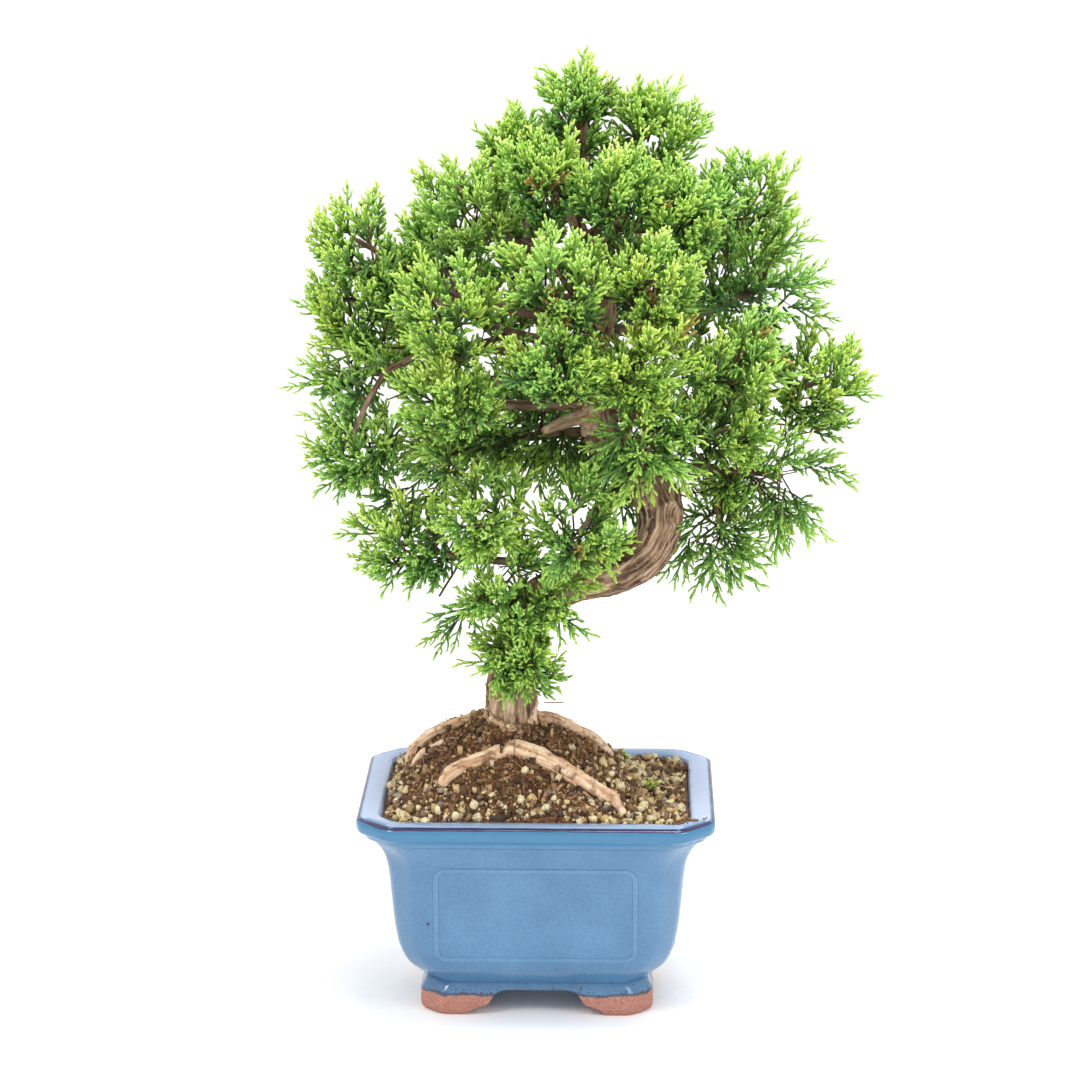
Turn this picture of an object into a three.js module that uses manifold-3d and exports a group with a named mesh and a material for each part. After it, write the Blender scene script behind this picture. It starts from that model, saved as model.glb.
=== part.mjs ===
// A kishu juniper bonsai growing in a glazed, footed pot with indented corners.
// Millimetres, +Z up. Everything is laid out round the middle of the pot, whose feet stand at z = 0.
// The viewer is on the -Y side. At the end the group is moved so that its origin is the middle of
// the bottom of its bounding box.
import * as THREE from 'three';
import { mergeVertices } from 'three/addons/utils/BufferGeometryUtils.js';
import Module from 'manifold-3d';

const wasm = await Module();
wasm.setup();

// Driving dimensions of the pot
const POT_LENGTH = 152.6;
const POT_DEPTH = 122;
const POT_HEIGHT = 95;
const RIM_WIDTH = 9.5;
const CORNER_CUT = 15;
const FOOT_CUT = 10;
const MOUTH_CORNER_EASE = 7.5;
const FOOT_HEIGHT = 11.5;
const FOOT_INSET = 25;
const FLOOR_TOP = 19;
const DEPTH_TAPER = 1.1;
const DRAIN_RADIUS = 7;
const DRAIN_OFFSET = 21;
const DRAIN_MESH_SIZE = 22;
const DRAIN_MESH_THICKNESS = 1.4;

// Half widths of the gaps between the feet, at the ground and at the top of the gap: seen from the
// front, and from the side
const FOOT_GAP_FRONT = [31, 17.6];
const FOOT_GAP_SIDE = [17, 7];

// Driving dimensions of the planting and the tree
const SOIL_EDGE = 93;
const MOUND_RISE = 35;
const MOUND_CENTRE_X = -9;
const MOUND_REACH_LEFT = 58;
const MOUND_REACH_RIGHT = 60;
const MOUND_REACH_DEEP = 51;
const SOIL_POINTS_ROUND = 25;
const SOIL_RINGS = 6;
const GRAIN_RELIEF = 2.2;

// How the limbs are faceted: sides round them, steps along them, and how deep their flutes are
const TRUNK_FACETS = { sides: 8, steps: 20, flute: 0.07 };
const ROOT_FACETS = { sides: 5, steps: 5, flute: 0.06 };
const STUB_FACETS = { sides: 5, steps: 2, flute: 0.08 };
const BOUGH_FACETS = { sides: 4, steps: 2, flute: 0 };
const SIDE_BRANCH_FACETS = { sides: 3, steps: 2, flute: 0 };
const BARE_BRANCH_STEPS = 4;
const FLUTES = 3;
const FLUTE_TWIST = 4;

// Foliage: shares of a pad's half size, and real lengths of its fingers
const FOLIAGE_FLOOR = 132;
const FINGER_RADIUS = 1.2;
const SHORTEST_SPRIG = 4;
const SHORTEST_FORK = 2.5;
const TUFT_CORE_SHARE = 0.6;
const SPRAY_CORE_SHARE = 0.3;
const LUMP_ROOM = 0.72;
const INNER_REACH = 1.4;
const LUMP_SPREAD = [0.88, 1.12];
const SHOOT_SPREAD = [0.78, 1.14];
const SPRIG_SPREAD = [1, 1.2];
const SPRIG_JOINT = [0.15, 0.3];
const FORK_LEAN = [0.75, 1.1];

// Clearances: touching pieces stay this far apart
const GAP = 0.35;
const FOLIAGE_MARGIN = 0.6;

// Shape of the pot wall, from the waist above the feet up to the rim's top: how far the face stands
// inside the rim's edge, and its height
const WALL_PROFILE = [
  [27.7, 14.2], [23.2, 19], [17.9, 26.9], [15.7, 33.6], [13.9, 45.8], [12.7, 58.1], [11.2, 70.4],
  [8.2, 78.7], [5.5, 82.4], [4.6, 84.2], [2, 85.8], [-0.8, 89], [-1.2, 92], [0.8, POT_HEIGHT],
];

// Shape of the pot's inside, from its floor to its mouth
const INSIDE_PROFILE = [
  [32, FLOOR_TOP], [23.5, 30], [18.5, 47], [15.4, 79], [RIM_WIDTH, POT_HEIGHT],
];

// One corner of the pot from above, in shares of the corner cut, measured in from the square corner
const CORNER_SHAPE = [[0, 1], [0.08, 0.8], [0.47, 0.47], [0.8, 0.08], [1, 0]];

// Trunk: its line from inside the soil to the apex, and its radius along the way
const TRUNK_LINE = [
  [-12, 0, 106], [-12, 0, 122], [-11.5, 0, 134], [-12, 0, 147], [-9, -2, 163], [-2, -6, 179],
  [14, -10, 191.5], [34, -14, 197.5], [48, -16, 208], [53, -14, 223], [46, -9, 237], [35, -4, 246],
  [26, 0, 257], [20, 2, 275], [25, 2, 295], [29, 2, 312], [24, 0, 330], [15, 0, 352], [20, 0, 376],
  [18, 0, 396],
];
const TRUNK_RADII = [
  9, 12.6, 11.2, 9.8, 9, 8.8, 9, 9.6, 10.2, 10, 9.8, 8.8, 7.6, 6.6, 5.6, 5, 4.2, 3.4, 2.6, 1.6,
];

// Surface roots that spread from the trunk over the mound and dip into the soil at their ends
const ROOTS = [
  {
    line: [
      [0, -21, 114.5], [-7, -19, 116.6], [-12, -19.5, 117], [-18, -22, 116], [-28, -26.5, 113.6],
      [-37, -31, 110.5], [-41, -34, 105],
    ],
    radii: [3, 4.4, 4.8, 4.2, 3.6, 3.6, 2.6],
  },
  {
    line: [
      [-11, -6, 110], [-9, -18.5, 117], [3, -24, 115], [14, -29, 110.5], [25, -34, 105.5],
      [33, -37, 101.5], [38, -40, 95],
    ],
    radii: [3.4, 5, 4.4, 4, 3.5, 2.8, 1.8],
  },
  {
    line: [[-15, 1, 120], [-26, 2, 124], [-38, 3, 122], [-50, 3, 116], [-56, 4, 108], [-58, 5, 98]],
    radii: [4.6, 3.8, 2.8, 2.6, 2.6, 1.8],
  },
  {
    line: [[-15, -4, 116], [-30, -8, 119.5], [-46, -9, 115.5], [-53, -10, 110], [-56, -11, 101]],
    radii: [4, 2.4, 2, 1.8, 1.2],
  },
  {
    line: [
      [-8, 2, 121], [1, 3, 125.5], [9, 6, 123], [18, 9, 118], [27, 12, 111], [33, 14, 103],
      [36, 16, 95],
    ],
    radii: [4.6, 3.8, 3.2, 3.1, 2.9, 2.4, 1.6],
  },
  {
    line: [[-13, 5, 118], [-19, 20, 116], [-25, 33, 107], [-28, 40, 95]],
    radii: [4.2, 3.6, 2.8, 1.8],
  },
  {
    line: [[-9, 4, 118], [3, 20, 115], [11, 32, 106], [15, 40, 94]],
    radii: [4.2, 3.4, 2.6, 1.6],
  },
];

// Dead stub left where an old branch was cut off the front of the trunk
const STUB = { line: [[24, 2, 262], [12, -12, 262], [3, -21, 260]], radii: [3.6, 2.8, 2.2] };

// Foliage pads: the middle of each and its half sizes. A bough leaves the trunk at the height that
// `leaves` gives; a side branch forks off the bough of the pad that `off` names. `via` lists points
// that a branch passes through. Airy pads are loose sprays with a slim core.
const PADS = [
  { name: 'apex', at: [16, 0, 400], size: [18, 18, 18], leaves: 376 },
  { name: 'top_right', at: [50, 4, 392], size: [23, 20, 18], leaves: 356 },
  { name: 'top_left', at: [-8, 8, 382], size: [18, 16, 14], leaves: 352 },
  { name: 'shoulder_left', at: [-34, -18, 364], size: [25, 22, 20], leaves: 326 },
  { name: 'upper_front', at: [36, -32, 371], size: [23, 19, 19], leaves: 340 },
  { name: 'upper_front_left', at: [2, -30, 375], size: [20, 18, 19], off: 'upper_front' },
  { name: 'shoulder_right', at: [91, 0, 361], size: [26, 21, 21], leaves: 322 },
  { name: 'upper_front_right', at: [65, -28, 358], size: [19, 19, 21], off: 'shoulder_right' },
  { name: 'outer_left_top', at: [-80, -2, 340], size: [28, 22, 23], leaves: 302 },
  { name: 'outer_left', at: [-84, 4, 312], size: [22, 22, 21], off: 'outer_left_top' },
  { name: 'front_left', at: [-40, -54, 321], size: [25, 22, 26], leaves: 294 },
  { name: 'front_middle', at: [8, -60, 337], size: [25, 20, 20], leaves: 310 },
  { name: 'front_right', at: [52, -52, 332], size: [23, 20, 21], off: 'front_middle' },
  { name: 'outer_right_airy', at: [99, 0, 320], size: [23, 22, 23], leaves: 298, airy: true },
  { name: 'left_needles', at: [-82, 2, 281], size: [18, 20, 18], leaves: 276, airy: true },
  {
    name: 'left_low', at: [-82, 0, 248], size: [23, 22, 24], off: 'front_left',
    via: [[-58, -36, 292], [-74, -26, 268]],
  },
  { name: 'front_left_low', at: [-38, -54, 282], size: [26, 21, 20], leaves: 268 },
  { name: 'front_low', at: [6, -68, 301], size: [22, 18, 18], off: 'front_right_low' },
  { name: 'front_right_low', at: [45, -58, 297], size: [22, 20, 21], leaves: 282 },
  { name: 'right_middle', at: [87, -34, 297], size: [27, 21, 19], off: 'right_tip' },
  { name: 'right_tip', at: [127, 0, 279], size: [21, 20, 23], leaves: 262 },
  { name: 'right_low', at: [84, -30, 263], size: [28, 21, 18], leaves: 252 },
  { name: 'right_drooping', at: [106, -4, 237], size: [24, 20, 26], leaves: 242, airy: true },
  { name: 'right_hanging', at: [80, -6, 209], size: [16, 15, 18], off: 'right_drooping', airy: true },
  { name: 'over_trunk', at: [48, -44, 258], size: [19, 16, 18], off: 'low_front_right', airy: true },
  { name: 'low_left', at: [-58, -28, 212], size: [29, 21, 23], off: 'low_front_left' },
  { name: 'low_front_left', at: [-24, -46, 226], size: [24, 21, 24], leaves: 194 },
  { name: 'low_front_right', at: [18, -50, 222], size: [25, 20, 29], leaves: 238 },
  { name: 'trailing_upper', at: [-9, -36, 187], size: [37, 20, 21], leaves: 180 },
  { name: 'trailing_tip', at: [-9, -31, 160], size: [22, 15, 17], off: 'trailing_upper' },
  { name: 'inner_left', at: [-38, 6, 243], size: [22, 20, 18], leaves: 256, airy: true },
  { name: 'back_left_top', at: [-50, 42, 333], size: [25, 23, 22], off: 'outer_left_top' },
  { name: 'back_top', at: [-6, 44, 356], size: [25, 22, 22], off: 'shoulder_left' },
  { name: 'back_top_right', at: [42, 42, 358], size: [26, 22, 22], leaves: 334 },
  { name: 'back_right_top', at: [82, 40, 328], size: [26, 23, 23], off: 'back_top_right' },
  { name: 'back_left', at: [-60, 46, 288], size: [26, 23, 24], leaves: 286 },
  { name: 'back_middle_left', at: [-16, 66, 312], size: [27, 22, 24], off: 'back_middle_right' },
  { name: 'back_middle_right', at: [36, 66, 314], size: [28, 22, 24], leaves: 300 },
  { name: 'back_right', at: [86, 44, 284], size: [27, 23, 23], off: 'right_tip' },
  { name: 'back_low_left', at: [-40, 42, 248], size: [22, 20, 20], off: 'inner_left', airy: true },
  { name: 'back_low_right', at: [42, 52, 262], size: [26, 22, 22], leaves: 256 },
  { name: 'back_low', at: [-2, 54, 264], size: [24, 22, 22], off: 'back_low_right' },
];

const UP = new THREE.Vector3(0, 0, 1);
const CROWN_CENTRE = new THREE.Vector3(18, 0, 285);

// The same number sequence on every run
function seededRandom(seed) {
  let state = seed;
  return () => {
    state = (state * 1664525 + 1013904223) % 4294967296;
    return state / 4294967296;
  };
}

// A number drawn evenly from a range
function drawn(random, [low, high]) {
  return THREE.MathUtils.lerp(low, high, random());
}

function toVector(point) {
  return new THREE.Vector3(point[0], point[1], point[2]);
}

function middleOf(points) {
  return points.reduce((sum, point) => sum.add(point), new THREE.Vector3()).divideScalar(points.length);
}

// Solids and meshes
function solidOf(geometry) {
  const bare = geometry.clone();
  bare.deleteAttribute('normal');
  bare.deleteAttribute('uv');
  const merged = mergeVertices(bare, 1e-4);
  return new wasm.Manifold(new wasm.Mesh({
    numProp: 3,
    vertProperties: new Float32Array(merged.attributes.position.array),
    triVerts: new Uint32Array(merged.index.array),
  }));
}

function geometryOf(solid) {
  const mesh = solid.getMesh();
  const geometry = new THREE.BufferGeometry();
  geometry.setAttribute('position', new THREE.BufferAttribute(new Float32Array(mesh.vertProperties), 3));
  geometry.setIndex(new THREE.BufferAttribute(new Uint32Array(mesh.triVerts), 1));
  geometry.computeVertexNormals();
  return geometry;
}

function joined(solids) {
  return solids.reduce((sum, solid) => sum.add(solid));
}

// Only the largest body is kept, so a scrap that a cut leaves loose is dropped
function largestBody(solid) {
  return solid.decompose().reduce((best, body) => (body.volume() > best.volume() ? body : best));
}

// A solid skin over closed rings of points that run anticlockwise seen from above, lowest first
function loft(rings) {
  const count = rings[0].length;
  const positions = rings.flat().flatMap((point) => [point.x, point.y, point.z]);
  const indices = [];
  for (let level = 0; level + 1 < rings.length; level += 1) {
    for (let i = 0; i < count; i += 1) {
      const next = (i + 1) % count;
      const a = level * count + i;
      const b = level * count + next;
      indices.push(a, b, b + count, a, b + count, a + count);
    }
  }
  const ends = [{ level: 0, below: true }, { level: rings.length - 1, below: false }];
  ends.forEach(({ level, below }) => {
    const middle = middleOf(rings[level]);
    const start = level * count;
    const centre = positions.length / 3;
    positions.push(middle.x, middle.y, middle.z);
    for (let i = 0; i < count; i += 1) {
      const next = (i + 1) % count;
      const edge = below ? [start + next, start + i] : [start + i, start + next];
      indices.push(edge[0], edge[1], centre);
    }
  });
  const geometry = new THREE.BufferGeometry();
  geometry.setAttribute('position', new THREE.Float32BufferAttribute(positions, 3));
  geometry.setIndex(indices);
  return geometry;
}

// A round limb along a smooth line, with a radius that changes along it and shallow flutes. It can be
// grown all round, to cut its own room out of a neighbour.
function limb({ line, radii }, { sides, steps, flute }, grow) {
  const curve = new THREE.CatmullRomCurve3(line.map(toVector), false, 'centripetal');
  const frames = curve.computeFrenetFrames(steps);
  const geometry = new THREE.CylinderGeometry(1, 1, 1, sides, steps);
  const position = geometry.attributes.position;
  const point = new THREE.Vector3();
  for (let i = 0; i < position.count; i += 1) {
    const along = 0.5 - position.getY(i);
    const step = Math.round(along * steps);
    const place = along * (radii.length - 1);
    const lower = Math.min(Math.floor(place), radii.length - 2);
    const angle = Math.atan2(position.getZ(i), position.getX(i));
    const ripple = 1 + flute * Math.sin(FLUTES * angle + FLUTE_TWIST * along);
    const radius = THREE.MathUtils.lerp(radii[lower], radii[lower + 1], place - lower) * ripple + grow;
    curve.getPointAt(along, point);
    point.addScaledVector(frames.normals[step], position.getX(i) * radius);
    point.addScaledVector(frames.binormals[step], position.getZ(i) * radius);
    if (step === 0) point.addScaledVector(frames.tangents[0], -grow);
    if (step === steps) point.addScaledVector(frames.tangents[steps], grow);
    position.setXYZ(i, point.x, point.y, point.z);
  }
  return solidOf(geometry);
}

// Pot
function potOutline(inset, height, cut) {
  const halfX = POT_LENGTH / 2 - inset;
  const halfY = POT_DEPTH / 2 - inset * DEPTH_TAPER;
  const corners = [[-1, -1, false], [1, -1, true], [1, 1, false], [-1, 1, true]];
  return corners.flatMap(([signX, signY, reversed]) => {
    const corner = CORNER_SHAPE.map(([shareX, shareY]) => new THREE.Vector3(
      signX * (halfX - shareX * cut),
      signY * (halfY - shareY * cut),
      height,
    ));
    return reversed ? corner.reverse() : corner;
  });
}

function cornerCut(height) {
  return THREE.MathUtils.lerp(FOOT_CUT, CORNER_CUT, height / POT_HEIGHT);
}

function potRings(profile) {
  return profile.map(([inset, height]) => potOutline(inset, height, cornerCut(height)));
}

// The inside has squarer corners than the outside, so that the rim is about as wide all round
function insideRings(profile, extraInset = 0) {
  return profile.map(([inset, height]) => (
    potOutline(inset + extraInset, height, cornerCut(height) - MOUTH_CORNER_EASE)
  ));
}

// The plinth under the body, cut away between the corners so that four scalloped feet are left
function potFeet() {
  const [waistInset, waist] = WALL_PROFILE[0];
  const overlap = 2;
  const footWall = 10;
  const plinth = solidOf(loft([
    potOutline(FOOT_INSET, 0, FOOT_CUT),
    potOutline(FOOT_INSET, waist - 3, FOOT_CUT),
    potOutline(waistInset, waist + overlap, FOOT_CUT),
  ]));
  const recess = solidOf(loft([
    potOutline(FOOT_INSET + footWall, -1, FOOT_CUT / 2),
    potOutline(FOOT_INSET + footWall, FOOT_HEIGHT, FOOT_CUT / 2),
  ]));
  const frontGap = solidOf(archGeometry(FOOT_GAP_FRONT));
  const sideGap = solidOf(archGeometry(FOOT_GAP_SIDE).rotateZ(Math.PI / 2));
  return plinth.subtract(recess).subtract(frontGap).subtract(sideGap);
}

// A bar that cuts the scalloped gap between two feet, running along Y
function archGeometry([groundHalf, topHalf]) {
  const span = groundHalf - topHalf;
  const scallop = [[0.55, 0.35], [0.25, 0.47]];
  const half = [
    [groundHalf, -1],
    [groundHalf, 0],
    ...scallop.map(([outward, up]) => [topHalf + span * outward, FOOT_HEIGHT * up]),
    [topHalf, FOOT_HEIGHT],
  ];
  const mirrored = half.map(([x, z]) => [-x, z]).reverse();
  const shape = new THREE.Shape([...half, ...mirrored].map(([x, z]) => new THREE.Vector2(x, z)));
  return new THREE.ExtrudeGeometry(shape, { depth: POT_LENGTH, bevelEnabled: false })
    .translate(0, 0, -POT_LENGTH / 2)
    .rotateX(Math.PI / 2);
}

function drainHole(side) {
  const depth = FLOOR_TOP * 2;
  const bore = new THREE.CylinderGeometry(DRAIN_RADIUS, DRAIN_RADIUS, depth, 12).rotateX(Math.PI / 2);
  return solidOf(bore.translate(side * DRAIN_OFFSET, 0, FLOOR_TOP));
}

function makePot() {
  const body = solidOf(loft(potRings(WALL_PROFILE)));
  const mouth = potOutline(RIM_WIDTH - 0.6, POT_HEIGHT + 1, CORNER_CUT - MOUTH_CORNER_EASE);
  const inside = solidOf(loft([...insideRings(INSIDE_PROFILE), mouth]));
  const shell = body.add(potFeet()).subtract(inside);
  return shell.subtract(drainHole(-1)).subtract(drainHole(1));
}

// Drain mesh: a plastic square with a grid of openings, lying over one drain hole inside the pot
function makeDrainMesh(side) {
  const opening = 6;
  const pitch = 8.4;
  const lift = FLOOR_TOP + GAP + DRAIN_MESH_THICKNESS / 2;
  const centreX = side * DRAIN_OFFSET;
  const plate = new THREE.BoxGeometry(DRAIN_MESH_SIZE, DRAIN_MESH_SIZE, DRAIN_MESH_THICKNESS);
  let sheet = solidOf(plate.translate(centreX, 0, lift));
  [-0.5, 0.5].forEach((column) => {
    [-0.5, 0.5].forEach((row) => {
      const hole = new THREE.BoxGeometry(opening, opening, DRAIN_MESH_THICKNESS * 2);
      sheet = sheet.subtract(solidOf(hole.translate(centreX + column * pitch, row * pitch, lift)));
    });
  });
  return sheet;
}

// Soil
// The mound is squarish, steeper to the left where a root holds it up, and level at the pot's edge
function soilHeight(x, y) {
  const across = x - MOUND_CENTRE_X;
  const shareX = Math.abs(across) / (across < 0 ? MOUND_REACH_LEFT : MOUND_REACH_RIGHT);
  const shareY = Math.abs(y) / MOUND_REACH_DEEP;
  const squareness = 3;
  const distance = Math.min((shareX ** squareness + shareY ** squareness) ** (1 / squareness), 1);
  const leftness = across < 0 && distance > 0 ? Math.min(shareX / distance, 1) : 0;
  const steepness = THREE.MathUtils.lerp(1.35, 2.35, leftness ** 2);
  return SOIL_EDGE + MOUND_RISE * (1 - distance ** steepness);
}

// The same outline with its points spaced evenly round it
function evenlySpaced(outline) {
  const closed = [...outline, outline[0]];
  const path = new THREE.CurvePath();
  closed.slice(1).forEach((point, i) => path.add(new THREE.LineCurve3(closed[i], point)));
  return Array.from({ length: SOIL_POINTS_ROUND }, (_, i) => path.getPointAt(i / SOIL_POINTS_ROUND));
}

// Grains of pumice and bark stand up as rough relief, larger than life
function soilTopRings(edge, random) {
  const inmost = 0.6;
  return Array.from({ length: SOIL_RINGS }, (_, ring) => edge.map((point) => {
    const share = (ring + inmost + (random() - 0.5) * 0.4) / (SOIL_RINGS + inmost);
    const x = THREE.MathUtils.lerp(point.x, MOUND_CENTRE_X, share);
    const y = THREE.MathUtils.lerp(point.y, 0, share);
    return new THREE.Vector3(x, y, soilHeight(x, y) + (random() - 0.5) * GRAIN_RELIEF);
  }));
}

function makeSoil(woodClearance) {
  const random = seededRandom(11);
  const walls = insideRings(INSIDE_PROFILE.slice(0, -1), GAP).map(evenlySpaced);
  const bottom = walls[0].map((point) => point.clone().setZ(FLOOR_TOP + GAP));
  const edge = evenlySpaced(potOutline(RIM_WIDTH + 1.6, SOIL_EDGE - 1.5, CORNER_CUT - MOUTH_CORNER_EASE));
  const body = solidOf(loft([bottom, ...walls.slice(1), edge, ...soilTopRings(edge, random)]));
  const roomSize = DRAIN_MESH_SIZE + 2 * GAP;
  const roomHeight = 2 * (DRAIN_MESH_THICKNESS + 2 * GAP);
  const meshRooms = [-1, 1].map((side) => solidOf(
    new THREE.BoxGeometry(roomSize, roomSize, roomHeight).translate(side * DRAIN_OFFSET, 0, FLOOR_TOP),
  ));
  const bedded = meshRooms.reduce((rest, room) => rest.subtract(room), body);
  return largestBody(bedded.subtract(woodClearance));
}

// Tree
// Point on the trunk's middle line at a height
function trunkPoint(height) {
  const above = TRUNK_LINE.findIndex(([, , z]) => z >= height);
  const low = toVector(TRUNK_LINE[above - 1]);
  const high = toVector(TRUNK_LINE[above]);
  return low.lerp(high, (height - low.z) / (high.z - low.z));
}

// The point where a branch turns from going outwards to going up or down to its pad
function kneeOf(start, end) {
  const [sideways, upwards] = [0.5, 0.3];
  return new THREE.Vector3(
    THREE.MathUtils.lerp(start.x, end.x, sideways),
    THREE.MathUtils.lerp(start.y, end.y, sideways),
    THREE.MathUtils.lerp(start.z, end.z, upwards),
  );
}

// A bough starts on the trunk, a side branch at the knee of the bough that it forks off
function branchOf(pad) {
  const bough = PADS.find((other) => other.name === pad.off);
  const start = bough ? kneeOf(trunkPoint(bough.leaves), toVector(bough.at)) : trunkPoint(pad.leaves);
  const end = toVector(pad.at);
  const middle = pad.via ? pad.via : [kneeOf(start, end).toArray()];
  const thick = (bough ? 1.3 : 1.7) + start.distanceTo(end) * 0.014;
  return { line: [start.toArray(), ...middle, end.toArray()], radii: [thick, thick * 0.75, 1] };
}

function woodSolid(grow) {
  const trunk = limb({ line: TRUNK_LINE, radii: TRUNK_RADII }, TRUNK_FACETS, grow);
  const roots = ROOTS.map((root) => limb(root, ROOT_FACETS, grow));
  const stub = limb(STUB, STUB_FACETS, grow);
  const branches = PADS.map((pad) => {
    const facets = { ...(pad.off ? SIDE_BRANCH_FACETS : BOUGH_FACETS) };
    if (pad.via) facets.steps = BARE_BRANCH_STEPS;
    return limb(branchOf(pad), facets, grow);
  });
  return joined([trunk, ...roots, stub, ...branches]);
}

// Foliage
function meanSize(pad) {
  return (pad.size[0] + pad.size[1] + pad.size[2]) / 3;
}

// Flat walls round a pad's own share of the crown, so that no pad reaches into another. Between two
// pads the wall stands where their sizes balance. Each wall is a normal and how far out it stands.
function wallsRound(pad) {
  const centre = toVector(pad.at);
  const walls = PADS.filter((other) => other !== pad).map((other) => {
    const across = toVector(other.at).sub(centre);
    const apart = across.length();
    const balance = (apart ** 2 + meanSize(pad) ** 2 - meanSize(other) ** 2) / (2 * apart);
    return { normal: across.normalize(), out: balance - FOLIAGE_MARGIN };
  });
  walls.push({ normal: UP.clone().negate(), out: centre.z - FOLIAGE_FLOOR });
  return walls;
}

// Free distance from a point, given from the pad's middle, along a direction up to the nearest wall
function freeDistance(walls, from, direction) {
  return walls.reduce((least, { normal, out }) => {
    const heading = normal.dot(direction);
    return heading > 0.01 ? Math.max(Math.min(least, (out - normal.dot(from)) / heading), 0) : least;
  }, Infinity);
}

// Distance from the middle of a pad to its outline in a direction
function padReach(pad, direction) {
  const [a, b, c] = pad.size;
  return 1 / Math.hypot(direction.x / a, direction.y / b, direction.z / c);
}

// The small lump that the shoots of a pad grow out of: a rough ball of 20 faces, or of 80 with
// detail 1, turned at random. Its corners are kept as they stood before the turn.
function padLump(pad, share, detail, walls, random) {
  const bare = new THREE.IcosahedronGeometry(1, detail);
  bare.deleteAttribute('normal');
  bare.deleteAttribute('uv');
  const lump = mergeVertices(bare, 1e-3);
  const turn = new THREE.Euler(random() * Math.PI, random() * Math.PI, random() * Math.PI);
  const points = [];
  const corners = [];
  for (let i = 0; i < lump.attributes.position.count; i += 1) {
    const corner = new THREE.Vector3().fromBufferAttribute(lump.attributes.position, i);
    const direction = corner.clone().applyEuler(turn).normalize();
    const wanted = padReach(pad, direction) * share * drawn(random, LUMP_SPREAD);
    const room = freeDistance(walls, new THREE.Vector3(), direction) * LUMP_ROOM;
    corners.push(corner);
    points.push(direction.multiplyScalar(Math.min(wanted, room)));
  }
  const faces = [];
  for (let i = 0; i < lump.index.count; i += 3) {
    faces.push([lump.index.getX(i), lump.index.getX(i + 1), lump.index.getX(i + 2)]);
  }
  return { points, faces, corners };
}

// Replaces a face by a three-sided point
function drawOut(skin, face, tip) {
  skin.points.push(tip);
  const top = skin.points.length - 1;
  skin.faces.push([face[0], face[1], top], [face[1], face[2], top], [face[2], face[0], top]);
}

// Every face of a dense pad's lump is drawn out to one shoot. Its tip stays over its own face, seen
// from the pad's middle, so that no two shoots cross, and leans to the face's highest corner. Shoots
// that don't face out of the crown are longer, so that they close the gaps between the pads.
function growTuft(skin, face, pad, walls, random) {
  const base = face.map((i) => skin.points[i]);
  const highest = Math.max(...base.map((corner) => corner.z));
  const direction = new THREE.Vector3();
  base.forEach((corner) => {
    const weight = drawn(random, [0.2, 1]) + (corner.z === highest ? 0.5 : 0);
    direction.addScaledVector(corner, weight);
  });
  direction.normalize();
  const outwards = Math.max(toVector(pad.at).sub(CROWN_CENTRE).normalize().dot(direction), 0);
  const fullness = THREE.MathUtils.lerp(INNER_REACH, 1, outwards);
  const wanted = padReach(pad, direction) * fullness * drawn(random, SHOOT_SPREAD);
  const room = freeDistance(walls, new THREE.Vector3(), direction) - GAP;
  drawOut(skin, face, direction.multiplyScalar(Math.min(wanted, room)));
}

// Eight of the twenty faces look towards the corners of a cube. A loose spray's sprigs grow out of these.
function looksToCubeCorner(face, corners) {
  const [x, y, z] = middleOf(face.map((i) => corners[i])).toArray().map(Math.abs);
  return Math.abs(x - y) < 0.01 && Math.abs(y - z) < 0.01;
}

// A sprig is a three-sided finger drawn out of one face of the lump, with four shorter fingers
// drawn out of the faces of its joint. It adds its points and faces to the pad's.
function growSprig(skin, face, pad, walls, random) {
  const { points, faces } = skin;
  const base = face.map((i) => points[i]);
  const root = middleOf(base);
  const direction = root.clone().normalize();
  const heading = direction.clone().addScaledVector(UP, 0.15).normalize();
  const wanted = padReach(pad, direction) * drawn(random, SPRIG_SPREAD) - root.length();
  const length = Math.min(wanted, freeDistance(walls, root, heading) - FINGER_RADIUS);
  if (length < SHORTEST_SPRIG) {
    faces.push(face);
    return;
  }
  const outward = base.map((corner) => corner.clone().sub(root).projectOnPlane(heading).normalize());
  const joint = length * drawn(random, SPRIG_JOINT);
  const stations = [[0, 1.3], [joint, 1.1], [joint + 2 * FINGER_RADIUS, 1]];
  const rings = stations.map(([along, thickness]) => outward.map((side) => {
    points.push(root.clone()
      .addScaledVector(heading, along)
      .addScaledVector(side, thickness * FINGER_RADIUS));
    return points.length - 1;
  }));
  points.push(root.clone().addScaledVector(heading, length));
  const tip = points.length - 1;
  const [rootRing, lowRing, highRing] = rings;
  [0, 1, 2].forEach((side) => {
    const next = (side + 1) % 3;
    [[face, rootRing], [rootRing, lowRing]].forEach(([below, above]) => {
      faces.push([below[side], below[next], above[next]], [below[side], above[next], above[side]]);
    });
    const lowerFace = [lowRing[side], lowRing[next], highRing[next]];
    const upperFace = [lowRing[side], highRing[next], highRing[side]];
    const lean = drawn(random, FORK_LEAN);
    const beyond = length - joint;
    forkOut(skin, lowerFace, heading, lean, beyond * 0.95, walls);
    if (side === 1) {
      forkOut(skin, upperFace, heading, lean * 0.6, beyond * 0.7, walls);
    } else {
      faces.push(upperFace);
    }
    faces.push([highRing[side], highRing[next], tip]);
  });
}

// Draws one face out to a point, leaning away from the sprig's heading
function forkOut(skin, face, heading, lean, wanted, walls) {
  const [a, b, c] = face.map((i) => skin.points[i]);
  const base = middleOf([a, b, c]);
  const outward = b.clone().sub(a).cross(c.clone().sub(a)).projectOnPlane(heading).normalize();
  const direction = heading.clone().addScaledVector(outward, lean).normalize();
  const length = Math.min(wanted, freeDistance(walls, base, direction) - GAP);
  if (length < SHORTEST_FORK) {
    skin.faces.push(face);
    return;
  }
  drawOut(skin, face, base.addScaledVector(direction, length));
}

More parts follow.
